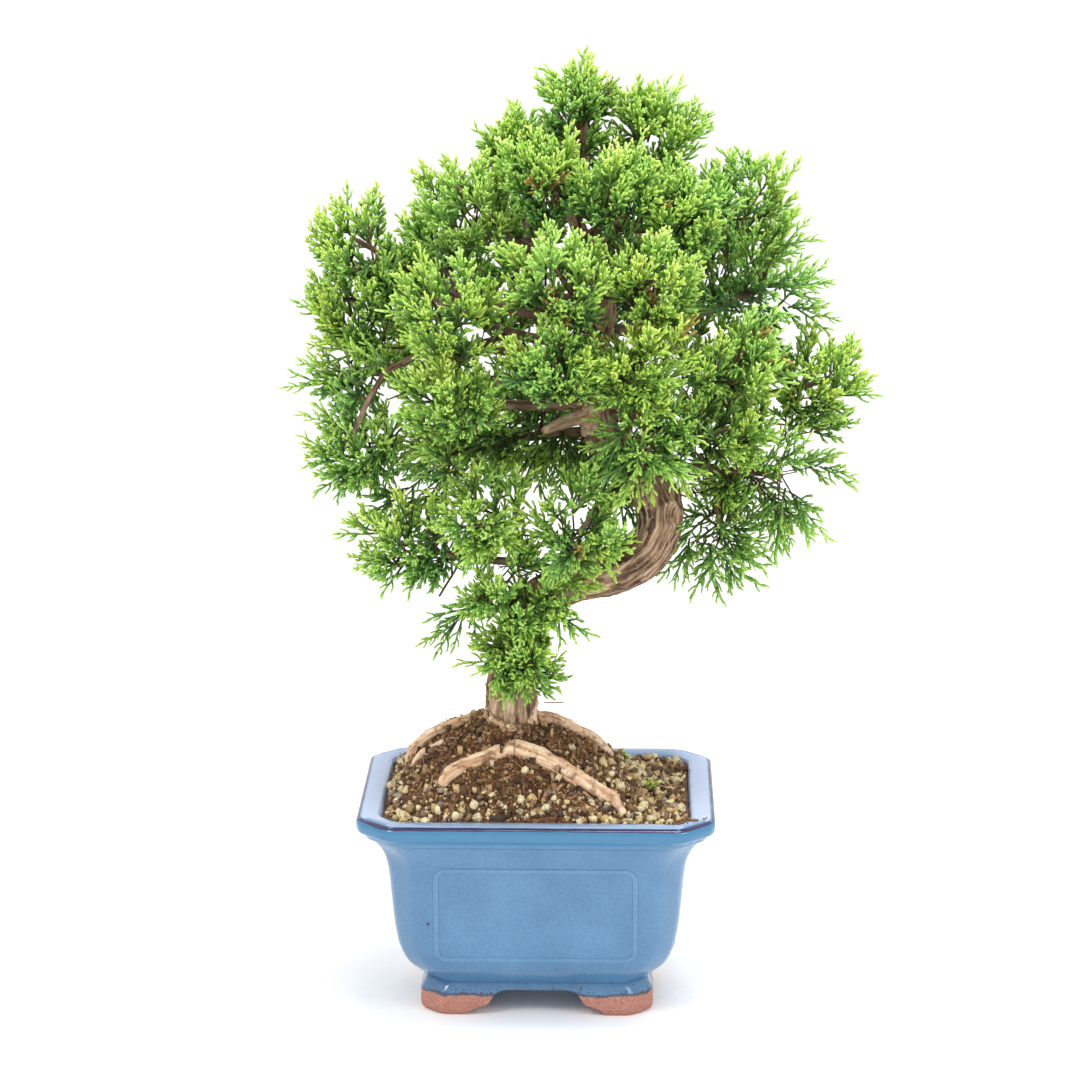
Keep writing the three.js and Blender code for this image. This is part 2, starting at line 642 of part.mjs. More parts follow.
// A pad's sprigs each keep to their own sector round the pad's middle, so that they never cross
function sectorWalls(direction, others) {
  return others.filter((other) => other !== direction).map((other) => (
    { normal: other.clone().sub(direction).normalize(), out: -GAP }
  ));
}

function tuftSkin(pad, walls, random) {
  const lump = padLump(pad, TUFT_CORE_SHARE, 1, walls, random);
  const skin = { points: lump.points, faces: [] };
  lump.faces.forEach((face) => growTuft(skin, face, pad, walls, random));
  return skin;
}

function spraySkin(pad, walls, random) {
  const lump = padLump(pad, SPRAY_CORE_SHARE, 0, walls, random);
  const sources = lump.faces.filter((face) => looksToCubeCorner(face, lump.corners));
  const directions = sources.map((face) => middleOf(face.map((i) => lump.points[i])).normalize());
  const skin = { points: lump.points, faces: lump.faces.filter((face) => !sources.includes(face)) };
  sources.forEach((face, order) => {
    const sector = sectorWalls(directions[order], directions);
    growSprig(skin, face, pad, [...walls, ...sector], random);
  });
  return skin;
}

function makePad(pad, index, woodClearance) {
  const random = seededRandom(100 + index);
  const walls = wallsRound(pad);
  const skin = pad.airy ? spraySkin(pad, walls, random) : tuftSkin(pad, walls, random);
  const positions = skin.points.flatMap((point) => point.toArray());
  const geometry = new THREE.BufferGeometry();
  geometry.setAttribute('position', new THREE.Float32BufferAttribute(positions, 3));
  geometry.setIndex(skin.faces.flat());
  const [x, y, z] = pad.at;
  return largestBody(solidOf(geometry.translate(x, y, z)).subtract(woodClearance));
}

// Colours and finishes
const glaze = { color: '#5f9cc9', roughness: 0.25, metalness: 0 };
const plastic = { color: '#2c2f30', roughness: 0.6, metalness: 0 };
const peat = { color: '#5a4029', roughness: 0.95, metalness: 0 };
const bark = { color: '#7a5a41', roughness: 0.9, metalness: 0 };
const leafColours = ['#5aa23c', '#4d9638', '#68b043'];

function addMesh(group, name, solid, look) {
  const mesh = new THREE.Mesh(geometryOf(solid), new THREE.MeshStandardMaterial(look));
  mesh.name = name;
  group.add(mesh);
}

const bonsai = new THREE.Group();
const wood = woodSolid(0);
const woodClearance = woodSolid(GAP);
addMesh(bonsai, 'pot', makePot(), glaze);
addMesh(bonsai, 'drain_mesh_left', makeDrainMesh(-1), plastic);
addMesh(bonsai, 'drain_mesh_right', makeDrainMesh(1), plastic);
addMesh(bonsai, 'soil', makeSoil(woodClearance), peat);
addMesh(bonsai, 'trunk_roots_and_branches', wood, bark);
PADS.forEach((pad, index) => {
  const look = { color: leafColours[index % leafColours.length], roughness: 0.7, metalness: 0 };
  addMesh(bonsai, `foliage_${pad.name}`, makePad(pad, index, woodClearance), look);
});

// The origin is the middle of the bottom of the whole plant's bounding box
const bounds = new THREE.Box3().setFromObject(bonsai);
const middle = bounds.getCenter(new THREE.Vector3());
bonsai.position.set(-middle.x, -middle.y, -bounds.min.z);

export default bonsai;
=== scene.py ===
import math
import random

import bmesh
import bpy
import numpy as np
from mathutils import Euler, Matrix, Vector, noise


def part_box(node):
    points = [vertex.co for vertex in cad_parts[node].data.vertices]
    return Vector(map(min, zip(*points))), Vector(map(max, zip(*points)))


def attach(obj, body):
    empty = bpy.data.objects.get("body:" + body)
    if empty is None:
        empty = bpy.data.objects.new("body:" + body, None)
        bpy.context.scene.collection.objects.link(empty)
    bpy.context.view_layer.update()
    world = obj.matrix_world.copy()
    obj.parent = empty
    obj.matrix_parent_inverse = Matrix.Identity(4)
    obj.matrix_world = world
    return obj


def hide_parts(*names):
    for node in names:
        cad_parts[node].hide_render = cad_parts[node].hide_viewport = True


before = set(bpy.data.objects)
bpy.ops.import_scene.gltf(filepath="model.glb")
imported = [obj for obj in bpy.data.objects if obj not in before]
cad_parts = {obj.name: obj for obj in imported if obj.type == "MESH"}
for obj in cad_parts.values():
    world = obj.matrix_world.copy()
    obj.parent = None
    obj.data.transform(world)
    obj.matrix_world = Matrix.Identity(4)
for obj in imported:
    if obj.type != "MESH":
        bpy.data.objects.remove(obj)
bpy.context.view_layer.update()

# Sizes are in millimetres and are turned to metres where a piece is placed. Places on the plant are
# given from the middle of the pot's underside, with the viewer on the -Y side.
MM = 0.001
pot_low, pot_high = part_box("pot")
POT_MIDDLE = Vector(((pot_low.x + pot_high.x) / 2, (pot_low.y + pot_high.y) / 2, pot_low.z))

# Camera: in front of the pot, looking a little down
CAMERA_AWAY = 1595
CAMERA_HEIGHT = 590
CAMERA_TILT = 13.5
CAMERA_TURN = 1.4
CAMERA_AIM = -0.03
CAMERA_LENS = 125.6

# Pot
RIM_HALF_LENGTH = 76.3
RIM_HALF_DEPTH = 61
DEPTH_TAPER = 1.1
POT_HEIGHT = 95
CORNER_CUT = 15
FOOT_CORNER_CUT = 10
FOOT_HEIGHT = 11.5
FLOOR_TOP = 19
MERGE_DISTANCE = 0.01
DRAIN_RADIUS = 7
DRAIN_OFFSET = 21
CLAY_HEIGHT = 9.0

# Soil
SOIL_EDGE = 93
MOUND_RISE = 35
MOUND_CENTRE_X = -9
MOUND_REACH_LEFT = 58
MOUND_REACH_RIGHT = 60
MOUND_REACH_DEEP = 51

# Foliage
SHOOT_SIDES = 3
SHORT_FINGER = 3.6
FULL_TURN = 6.283
GOLDEN_ANGLE = math.pi * (3 - math.sqrt(5))


def at(x, y, z):
    """A place on the plant, in the frame's metres."""
    return POT_MIDDLE + Vector((x, y, z)) * MM


def nothing_selected():
    for other in bpy.context.selected_objects:
        other.select_set(False)


def select_only(piece):
    nothing_selected()
    piece.select_set(True)
    bpy.context.view_layer.objects.active = piece


def settle(piece):
    """Puts a finished piece's object at the origin, with its place in its mesh."""
    select_only(piece)
    bpy.ops.object.transform_apply(location=True, rotation=True, scale=True)
    return piece


def edit(piece):
    select_only(piece)
    bpy.ops.object.mode_set(mode="EDIT")


def done():
    bpy.ops.object.mode_set(mode="OBJECT")


def select_all():
    bpy.ops.mesh.select_all(action="SELECT")


def face_out():
    """Ends the edit of a closed shape, with all its faces pointing outwards."""
    select_all()
    bpy.ops.mesh.normals_make_consistent(inside=False)
    done()


def extrude(way):
    """Extrudes what is selected in edit mode and moves it that way."""
    bpy.ops.mesh.extrude_region_move(TRANSFORM_OT_translate={"value": way})


def cut_corners(reach, segments):
    """Bevels the corners of a flat shape in edit mode."""
    select_all()
    bpy.ops.mesh.bevel(offset=reach * MM, offset_type="OFFSET", affect="VERTICES", segments=segments)


def plate(name, length, width, place=(0, 0, 0)):
    """A flat rectangle, left in edit mode with all of it selected."""
    nothing_selected()
    bpy.ops.mesh.primitive_plane_add(size=1, location=place)
    piece = bpy.context.object
    piece.name = name
    piece.scale = (length * MM, width * MM, 1)
    settle(piece)
    edit(piece)
    select_all()
    return piece


def mark(piece, **marks):
    """Gives a piece attributes that hold one number for each of its points."""
    for name, numbers in marks.items():
        piece.data.attributes.new(name, "FLOAT", "POINT").data.foreach_set("value", numbers)


def finish_with(piece, kind, **settings):
    """Adds a modifier with its settings and applies it."""
    select_only(piece)
    modifier = piece.modifiers.new(kind.title(), kind)
    for setting, value in settings.items():
        setattr(modifier, setting, value)
    bpy.ops.object.modifier_apply(modifier=modifier.name)
    return piece


def merge_and_face_out(piece):
    edit(piece)
    select_all()
    bpy.ops.mesh.remove_doubles(threshold=MERGE_DISTANCE * MM)
    face_out()


def smooth(piece, degrees=40):
    select_only(piece)
    bpy.ops.object.shade_smooth_by_angle(angle=math.radians(degrees))


def joined(pieces, name):
    nothing_selected()
    for piece in pieces:
        piece.select_set(True)
    bpy.context.view_layer.objects.active = pieces[0]
    bpy.ops.object.join()
    pieces[0].name = name
    pieces[0].data.name = name
    return pieces[0]


def turn_towards(heading, turned_from, centre):
    """Turns what is selected in edit mode about centre, as turned_from turns to heading."""
    turn = turned_from.rotation_difference(heading).to_euler("XYZ")
    for axis, angle in zip("XYZ", turn):
        # With no window, the operator turns the other way
        bpy.ops.transform.rotate(value=-angle, orient_axis=axis, orient_type="GLOBAL", center_override=centre)


# Materials
def colour(code):
    """An sRGB hex colour as the linear values that a shader takes."""
    parts = [int(code[i:i + 2], 16) / 255 for i in (1, 3, 5)]
    linear = [p / 12.92 if p <= 0.04045 else ((p + 0.055) / 1.055) ** 2.4 for p in parts]
    return (*linear, 1.0)


def grey(value):
    return (value, value, value, 1.0)


def add(tree, kind, inputs=None, stops=None, **settings):
    """Adds a shader node: its settings, its sockets' values or links, and a ramp's stops. A node that
    is given as a value is linked from its first output in use."""
    made = tree.nodes.new("ShaderNode" + kind)
    for setting, value in settings.items():
        setattr(made, setting, value)
    for socket, value in (inputs or {}).items():
        if isinstance(value, bpy.types.Node):
            value = next(output for output in value.outputs if output.enabled)
        if isinstance(value, bpy.types.NodeSocket):
            tree.links.new(value, made.inputs[socket])
        else:
            made.inputs[socket].default_value = colour(value) if isinstance(value, str) else value
    if stops:
        ramp = made.color_ramp.elements
        while len(ramp) < len(stops):
            ramp.new(0.5)
        for element, (place, value) in zip(ramp, stops):
            element.position = place
            element.color = value if isinstance(value, tuple) else colour(value)
    return made


def new_material(name):
    """An empty material, its tree, and the Object coordinates that its patterns read."""
    material = bpy.data.materials.new(name)
    material.use_nodes = True
    tree = material.node_tree
    tree.nodes.clear()
    return material, tree, add(tree, "TexCoord").outputs["Object"]


def surfaced(material, shader):
    """Gives a material its shader, with the shader's values and links."""
    surface = add(material.node_tree, "BsdfPrincipled", shader)
    add(material.node_tree, "OutputMaterial", {"Surface": surface})
    return material


def coated(tree, below, coats):
    """Lays coats of colour over each other. Each is how it mixes, how far it covers, and its colour."""
    for mixing, share, coat in coats:
        below = add(tree, "Mix", {0: share, 6: below, 7: coat}, data_type="RGBA", blend_type=mixing)
    return below


def relief(tree, *layers):
    """Bumps laid over each other. Each is its pattern, its strength and its depth in millimetres."""
    under = {}
    for pattern, strength, depth in layers:
        bump = add(tree, "Bump", {"Height": pattern, "Strength": strength, "Distance": depth * MM, **under})
        under = {"Normal": bump}
    return bump


def mottled(name, grain, detail, stops, bump, roughness, ior):
    """A finish with one cloudy grain in it, which is as wide as given in millimetres."""
    material, tree, place = new_material(name)
    clouds = add(tree, "TexNoise", {"Vector": place, "Scale": 1 / (grain * MM), "Detail": detail})
    shader = {"Base Color": add(tree, "ValToRGB", {"Fac": clouds}, stops), "Roughness": roughness, "IOR": ior}
    if bump:
        shader["Normal"] = relief(tree, (clouds, *bump))
    return surfaced(material, shader)


def drain_plastic():
    """Moulded black polythene mesh: even, slightly waxy, with faint flow marks."""
    return mottled("moulded_polythene", 3, 3.0, [(0.3, "#1F2324"), (0.7, "#34393A")], (0.3, 0.2), 0.5, 1.5)


def twig_bark():
    """Young bark of the finest twigs: smooth, dark brown, faintly ringed."""
    return mottled("young_twig_bark", 1.5, 4.0, [(0.3, "#3B2818"), (0.5, "#60432A"), (0.7, "#86613C")],
                   (0.6, 0.4), 0.7, 1.45)


def pale_floor():
    """Matt white studio card, with the faint mottle of its coating."""
    return mottled("white_studio_card", 4, 2.0, [(0.3, "#FBFBFB"), (0.7, "#FEFEFE")], None, 0.9, 1.45)


def glazed_stoneware():
    """Sky-blue gloss glaze over red stoneware, dipped and fired. It pools pale on the flat rim and
    teal under the lip, breaks to a dark line on the rim's edge, and stops above the bare feet."""
    material, tree, place = new_material("glazed_stoneware")
    rim_edge, rim_top, lip, line = (add(tree, "Attribute", attribute_name=name).outputs["Fac"]
                                    for name in ("rim_edge", "rim_top", "lip", "raised_line"))
    height = add(tree, "SeparateXYZ", {"Vector": place}).outputs["Z"]
    # Cloudy patches 25 mm across, and the fine curdled mottle of 1.2 mm that such a glaze has
    clouds = add(tree, "TexNoise",
                 {"Vector": place, "Scale": 1 / (25 * MM), "Detail": 3.0, "Roughness": 0.55})
    mottle = add(tree, "TexNoise",
                 {"Vector": place, "Scale": 1 / (1.2 * MM), "Detail": 4.0, "Roughness": 0.7})
    base = add(tree, "ValToRGB", {"Fac": clouds}, [(0.3, "#4A7499"), (0.52, "#507A9F"), (0.72, "#5480A4")])
    curdle = add(tree, "ValToRGB", {"Fac": mottle},
                 [(0.34, grey(0.87)), (0.5, grey(0.99)), (0.66, grey(1.09))])
    faint = add(tree, "Math", {0: line, 1: 0.18}, operation="MULTIPLY")
    # The dark break of the glaze wavers in width
    wander = add(tree, "TexNoise", {"Vector": place, "Scale": 1 / (9 * MM), "Detail": 4.0})
    broken = add(tree, "Math", {0: wander, 1: 0.9}, operation="MULTIPLY")
    edge = add(tree, "Math", {0: rim_edge, 1: broken}, operation="ADD")
    edge = add(tree, "MapRange", {0: edge, 1: 0.92, 2: 1.12})
    # Pinholes: dark dots 1.3 mm across, about 26 mm apart
    holes = add(tree, "TexVoronoi", {"Vector": place, "Scale": 1 / (26 * MM), "Randomness": 1.0})
    pin = add(tree, "MapRange", {0: holes, 1: 0.022, 2: 0.03, 3: 1.0, 4: 0.0})
    # Bare clay below the glaze's lower edge, which runs unevenly by a millimetre or two. The glaze
    # burns dark where it runs thin
    ragged = add(tree, "TexNoise", {"Vector": place, "Scale": 1 / (6 * MM), "Detail": 2.0})
    uneven = add(tree, "Math", {0: ragged, 1: 3 * MM, 2: height}, operation="MULTIPLY_ADD")
    bare, burnt = (add(tree, "MapRange", {0: uneven, 1: (CLAY_HEIGHT + low) * MM,
                                          2: (CLAY_HEIGHT + high) * MM, 3: most, 4: 0.0})
                   for low, high, most in ((1.2, 1.8, 1.0), (2.2, 3.2, 0.8)))
    # Iron specks pepper the lowest 9 mm of the glaze
    specks = add(tree, "TexNoise", {"Vector": place, "Scale": 1 / (1.1 * MM), "Detail": 3.0})
    thinning = add(tree, "MapRange",
                   {0: height, 1: CLAY_HEIGHT * MM, 2: (CLAY_HEIGHT + 9) * MM, 3: 0.13, 4: -0.1})
    dots = add(tree, "Math", {0: specks, 1: thinning}, operation="ADD")
    dots = add(tree, "MapRange", {0: dots, 1: 0.66, 2: 0.72})
    grit = add(tree, "TexNoise", {"Vector": place, "Scale": 1 / (0.8 * MM), "Detail": 5.0, "Roughness": 0.75})
    clay = add(tree, "ValToRGB", {"Fac": grit}, [(0.3, "#8C574A"), (0.5, "#B27A6A"), (0.7, "#C9978A")])
    # The pale rim_top coat is the glaze's pool on the rim, and also painted reflection: weaker along the long
    # sides, full at the short ends
    body = coated(tree, base, [
        ("MULTIPLY", 1.0, curdle), ("MIX", lip, "#387298"), ("MIX", rim_top, "#ABBDE0"),
        ("MIX", faint, "#719CBF"), ("MIX", edge, "#332B50"), ("MIX", pin, "#2A2F45"),
        ("MIX", burnt, "#34404F"), ("MIX", dots, "#4A3A30"), ("MIX", bare, clay)])
    worn = add(tree, "MapRange", {0: clouds, 1: 0.3, 2: 0.7, 3: 0.06, 4: 0.14})
    rough = add(tree, "Mix", {0: bare, 2: worn, 3: 0.85})
    # Orange-peel of the glaze, then the clay's grit
    peel = add(tree, "TexNoise", {"Vector": place, "Scale": 1 / (7 * MM), "Detail": 2.0})
    pits = add(tree, "Math", {0: grit, 1: bare}, operation="MULTIPLY")
    return surfaced(material, {"Base Color": body, "Roughness": rough, "IOR": 1.52,
                               "Normal": relief(tree, (peel, 0.35, 0.5), (pits, 0.8, 0.5))})


def peat():
    """Damp sphagnum peat and composted bark: red-brown crumbs round nearly black hollows, dull."""
    material, tree, place = new_material("damp_peat")
    # Crumbs of 1.6 mm, and drier patches of 9 mm
    crumbs = add(tree, "TexNoise",
                 {"Vector": place, "Scale": 1 / (1.6 * MM), "Detail": 6.0, "Roughness": 0.75})
    patches = add(tree, "TexNoise", {"Vector": place, "Scale": 1 / (9 * MM), "Detail": 3.0})
    dark = add(tree, "ValToRGB", {"Fac": crumbs},
               [(0.3, "#241A12"), (0.45, "#553B26"), (0.58, "#8E6543"), (0.72, "#C09766")])
    tint = add(tree, "ValToRGB", {"Fac": patches}, [(0.35, "#B9A594"), (0.65, "#FFFFFF")])
    body = coated(tree, dark, [("MULTIPLY", 1.0, tint)])
    return surfaced(material, {"Base Color": body, "Roughness": 0.92, "IOR": 1.45,
                               "Normal": relief(tree, (crumbs, 0.9, 0.7))})


def mineral(name, codes, pore):
    """Porous grains with pores as wide as given in millimetres. Each grain has a shade of its own,
    from its `tone` attribute."""
    material, tree, place = new_material(name)
    tone = add(tree, "Attribute", attribute_name="tone").outputs["Fac"]
    pores = add(tree, "TexNoise",
                {"Vector": place, "Scale": 1 / (pore * MM), "Detail": 5.0, "Roughness": 0.7})
    shade = add(tree, "ValToRGB", {"Fac": tone}, codes)
    speck = add(tree, "ValToRGB", {"Fac": pores}, [(0.35, grey(0.62)), (0.6, grey(1.05))])
    body = coated(tree, shade, [("MULTIPLY", 1.0, speck)])
    return surfaced(material, {"Base Color": body, "Roughness": 0.9, "IOR": 1.5,
                               "Normal": relief(tree, (pores, 0.7, 0.4))})


def shaggy_bark(name, shade):
    """Juniper bark: thin fibrous strips that run along the limb, red-brown where fresh, silvery
    pink-grey where weathered, dark in the furrows. It reads the limb's own straightened space."""
    material, tree, place = new_material(name)
    grain = add(tree, "Attribute", attribute_name="grain").outputs["Vector"]
    paleness = add(tree, "Attribute", attribute_name="paleness").outputs["Fac"]
    # Strips 2.2 mm wide and some 20 mm long, and finer fibres of 0.7 mm within them
    along = add(tree, "Mapping", {"Vector": grain, "Scale": (1, 1, 0.11)})
    strips = add(tree, "TexNoise", {"Vector": along, "Scale": 1 / (2.2 * MM), "Detail": 4.0, "Roughness": 0.6,
                                    "Distortion": 0.4})
    fibres = add(tree, "TexNoise",
                 {"Vector": along, "Scale": 1 / (0.7 * MM), "Detail": 3.0, "Roughness": 0.7})
    # Weathered patches of 14 mm
    patches = add(tree, "TexNoise", {"Vector": grain, "Scale": 1 / (14 * MM), "Detail": 3.0})
    fresh = add(tree, "ValToRGB", {"Fac": strips},
                [(0.35, "#37281D"), (0.45, "#6E533F"), (0.55, "#A38368"), (0.68, "#D0B194")])
    weathered = add(tree, "ValToRGB", {"Fac": strips},
                    [(0.28, "#8E6446"), (0.4, "#D4AA86"), (0.54, "#F4D3B0"), (0.72, "#FDEBD2")])
    share = add(tree, "MapRange", {0: patches, 1: 0.44, 2: 0.6, 3: 0.0, 4: 0.45})
    share = add(tree, "Math", {0: share, 1: paleness}, operation="ADD", use_clamp=True)
    fine = add(tree, "ValToRGB", {"Fac": fibres}, [(0.32, grey(0.55)), (0.62, grey(1.1))])
    grown = add(tree, "MapRange", {0: paleness, 1: 0.0, 2: 1.0, 3: 0.8, 4: 0.4})
    # Soil and damp stain the roots in blotches of 5 mm
    blotches = add(tree, "TexNoise",
                   {"Vector": place, "Scale": 1 / (5 * MM), "Detail": 3.0, "Roughness": 0.65})
    stained = add(tree, "MapRange", {0: blotches, 1: 0.5, 2: 0.66, 3: 0.0, 4: 0.75})
    stained = add(tree, "Math", {0: stained, 1: paleness}, operation="MULTIPLY")
    # The last coat is painted shade: a shade below 1 darkens the whole bark of limbs that lie inside the
    # crown
    body = coated(tree, fresh, [("MIX", share, weathered), ("MULTIPLY", grown, fine),
                                ("MIX", stained, "#7A5236"), ("MULTIPLY", 1.0, grey(shade))])
    return surfaced(material, {"Base Color": body, "Roughness": 0.88, "IOR": 1.45,
                               "Normal": relief(tree, (strips, 0.9, 1.4), (fibres, 0.8, 0.5))})


def scale_leaves():
    """Juniper shoots clad in tiny pressed scale leaves: waxy lime at the growing tips, deep blue-green
    where older, straw or rust where a shoot has died. Light passes a little way into them."""
    material, tree, place = new_material("juniper_scale_leaves")
    age, tone, dead = (add(tree, "Attribute", attribute_name=name).outputs["Fac"]
                       for name in ("youth", "tone", "dead"))
    # Scales of 0.9 mm on the tree are drawn at 1.1 mm, so that they show
    scales = add(tree, "TexVoronoi", {"Vector": place, "Scale": 1 / (1.1 * MM), "Randomness": 0.8})
    cells = add(tree, "ValToRGB", {"Fac": scales}, [(0.15, grey(1.12)), (0.75, grey(0.78))])
    # Growth is a little further on in patches of 30 mm. Each shoot has a tone of its own, which also holds
    # painted light and shade: lighter on the tops and outsides of pads, darker inside the crown
    patches = add(tree, "TexNoise", {"Vector": place, "Scale": 1 / (30 * MM), "Detail": 2.0})
    vary = add(tree, "MapRange", {0: patches, 1: 0.3, 2: 0.7, 3: -0.14, 4: 0.14})
    growth = add(tree, "Math", {0: age, 1: vary}, operation="ADD")
    growth = add(tree, "Math", {0: growth, 1: tone}, operation="ADD")
    green = add(tree, "ValToRGB", {"Fac": growth}, [
        (0.02, "#43632E"), (0.24, "#6B9948"), (0.48, "#97C257"), (0.74, "#BBDF64"), (1.0, "#DAF285")])
    straw = add(tree, "ValToRGB", {"Fac": age}, [(0.1, "#6E4A2A"), (0.6, "#A27A42"), (1.0, "#C6A458")])
    # Whole branches lean to blue-green or to yellow-green
    hues = add(tree, "TexNoise", {"Vector": place, "Scale": 1 / (42 * MM), "Detail": 2.0})
    lean = add(tree, "ValToRGB", {"Fac": hues},
               [(0.36, (0.86, 0.98, 1.12, 1.0)), (0.64, (1.08, 1.0, 0.82, 1.0))])
    body = coated(tree, green, [("MULTIPLY", 0.75, cells), ("MULTIPLY", 1.0, lean), ("MIX", dead, straw)])
    return surfaced(material, {
        "Base Color": body, "Roughness": 0.5, "IOR": 1.42, "Normal": relief(tree, (scales, 0.6, 0.35)),
        "Subsurface Weight": 0.25, "Subsurface Radius": (0.7, 1.0, 0.4), "Subsurface Scale": 1.2 * MM})


# Shared shapes
POINTS_AT_ONCE = 4000


def smooth_line(points, count):
    """Evenly spread stations along a smooth line through points, each with the share of the way
    along the list of points that it stands at."""
    knots = [Vector(p) for p in points]
    fine = []
    for i in range(len(knots) - 1):
        before = knots[i - 1] if i else knots[0] * 2 - knots[1]
        after = knots[i + 2] if i + 2 < len(knots) else knots[-1] * 2 - knots[-2]
        for step in range(12):
            t = step / 12
            a, b, c, d = before, knots[i], knots[i + 1], after
            place = 0.5 * ((2 * b) + (c - a) * t + (2 * a - 5 * b + 4 * c - d) * t * t
                           + (3 * b - a - 3 * c + d) * t ** 3)
            fine.append((place, (i + t) / (len(knots) - 1)))
    fine.append((knots[-1], 1.0))
    lengths = [0.0]
    for (a, _), (b, _) in zip(fine, fine[1:]):
        lengths.append(lengths[-1] + (b - a).length)
    stations = []
    for i in range(count):
        wanted = lengths[-1] * i / (count - 1)
        k = next((j for j in range(1, len(lengths)) if lengths[j] >= wanted - 1e-9), len(lengths) - 1)
        t = (wanted - lengths[k - 1]) / max(lengths[k] - lengths[k - 1], 1e-9)
        stations.append((fine[k - 1][0].lerp(fine[k][0], t), fine[k - 1][1] * (1 - t) + fine[k][1] * t))
    return stations


def along_list(values, share):
    place = share * (len(values) - 1)
    low = min(int(place), len(values) - 2)
    return values[low] + (values[low + 1] - values[low]) * (place - low)


def headings_along(places):
    """The way that a line goes at each of its places."""
    last = len(places) - 1
    return [(places[min(i + 1, last)] - places[max(i - 1, 0)]).normalized() for i in range(last + 1)]


def limb(name, line, radii, sides, count):
    """A round limb: a disc that is extruded from station to station, turned and resized at each."""
    stations = smooth_line(line, count)
    places = [at(*place) for place, _ in stations]
    sizes = [along_list(radii, share) * MM for _, share in stations]
    headings = headings_along(places)
    nothing_selected()
    bpy.ops.mesh.primitive_circle_add(vertices=sides, radius=sizes[0], fill_type="NGON", location=places[0],
                                      rotation=headings[0].to_track_quat("Z", "Y").to_euler())
    piece = bpy.context.object
    piece.name = name
    settle(piece)
    edit(piece)
    select_all()
    for i in range(1, count):
        extrude(places[i] - places[i - 1])
        bpy.ops.transform.resize(value=(sizes[i] / sizes[i - 1],) * 3, center_override=places[i])
        turn_towards(headings[i], headings[i - 1], places[i])
    face_out()
    return piece


def numbers_of(points, kind):
    """The places or the normals of a mesh's points, a row for each."""
    numbers = np.zeros(len(points) * 3)
    points.foreach_get(kind, numbers)
    return numbers.reshape(-1, 3)


def straighten(piece, lines, paleness):
    """Gives each point its place in the straightened space of the limb nearest to it: across, across
    and along the limb. lines holds (points, radii) of every limb, paleness how weathered each is."""
    stations = []
    for number, (line, _) in enumerate(lines):
        places = [place for place, _ in smooth_line(line, 40)]
        headings = headings_along(places)
        side = headings[0].orthogonal()
        walked = 0.0
        for i, heading in enumerate(headings):
            if i:
                walked += (places[i] - places[i - 1]).length
            side = (side - heading * side.dot(heading)).normalized()
            stations.append((number, at(*places[i]), heading, walked * MM, side))
    middles = np.array([station[1] for station in stations])
    points = numbers_of(piece.data.vertices, "co")
    grain = np.zeros_like(points)
    pale = np.zeros(len(points))
    for start in range(0, len(points), POINTS_AT_ONCE):
        part = points[start:start + POINTS_AT_ONCE]
        nearest = ((part[:, None, :] - middles[None, :, :]) ** 2).sum(axis=2).argmin(axis=1)
        for k, choice in enumerate(nearest):
            number, middle, heading, walked, side = stations[choice]
            off = Vector(part[k]) - middle
            third = heading.cross(side)
            # Each limb's pattern starts half a metre from the last one's, so that none is alike
            grain[start + k] = (off.dot(side), off.dot(third), walked + off.dot(heading) + number * 0.5)
            pale[start + k] = paleness[number]
    piece.data.attributes.new("grain", "FLOAT_VECTOR", "POINT").data.foreach_set("vector", grain.ravel())
    mark(piece, paleness=pale)
    return grain, pale


# Pot
# How far the pot's outside stands inside the rim's edge at each height, from the waist to the rim
WALL = [
    (28.6, 13.2), (27.7, 14.2), (26.5, 15.7), (24.7, 17.6), (22.9, 19.5), (21, 21.6), (19.5, 23.8),
    (18.1, 26.5), (16.9, 29.8), (15.9, 33.3), (14.8, 39), (13.9, 45.7), (13.2, 52.4), (12.6, 59),
    (11.9, 65.7), (10.9, 71.4), (9.7, 75.4), (8, 78.9), (6.6, 81), (5.7, 82.3), (5.1, 83.3),
    (4.6, 84.1), (3.2, 84.6), (2.4, 85.3), (2.0, 86.3), (1.5, 87.3), (0.2, 88.2), (-0.8, 89),
    (-1.2, 90.2), (-1.3, 92), (-1.2, 93.3), (-0.7, 94.2), (0.2, 94.8),
]
WALL_EASED = 17
RIM_TOP = [(1.4, 95.1), (4.2, 95.3), (7.2, 95.0), (8.7, 94.5), (9.5, 93.6)]
INSIDE = [(10.6, 90), (15.4, 79), (18.5, 47), (23.5, 30), (32, FLOOR_TOP)]
SIDES = [(-1, -1), (1, -1), (1, 1), (-1, 1)]
# The mouth's corners are squarer than the rim's
MOUTH_EASE = 7.5


def corner_cut_at(height):
    return FOOT_CORNER_CUT + (CORNER_CUT - FOOT_CORNER_CUT) * height / POT_HEIGHT


def pot_plate(name, inset, height, cut):
    """A flat plate in the pot's outline: its corners are cut, then eased."""
    piece = plate(name, 2 * (RIM_HALF_LENGTH - inset), 2 * (RIM_HALF_DEPTH - inset * DEPTH_TAPER),
                  at(0, 0, height))
    cut_corners(cut * 0.9, 1)
    cut_corners(cut * 0.3, 5)
    done()
    return piece


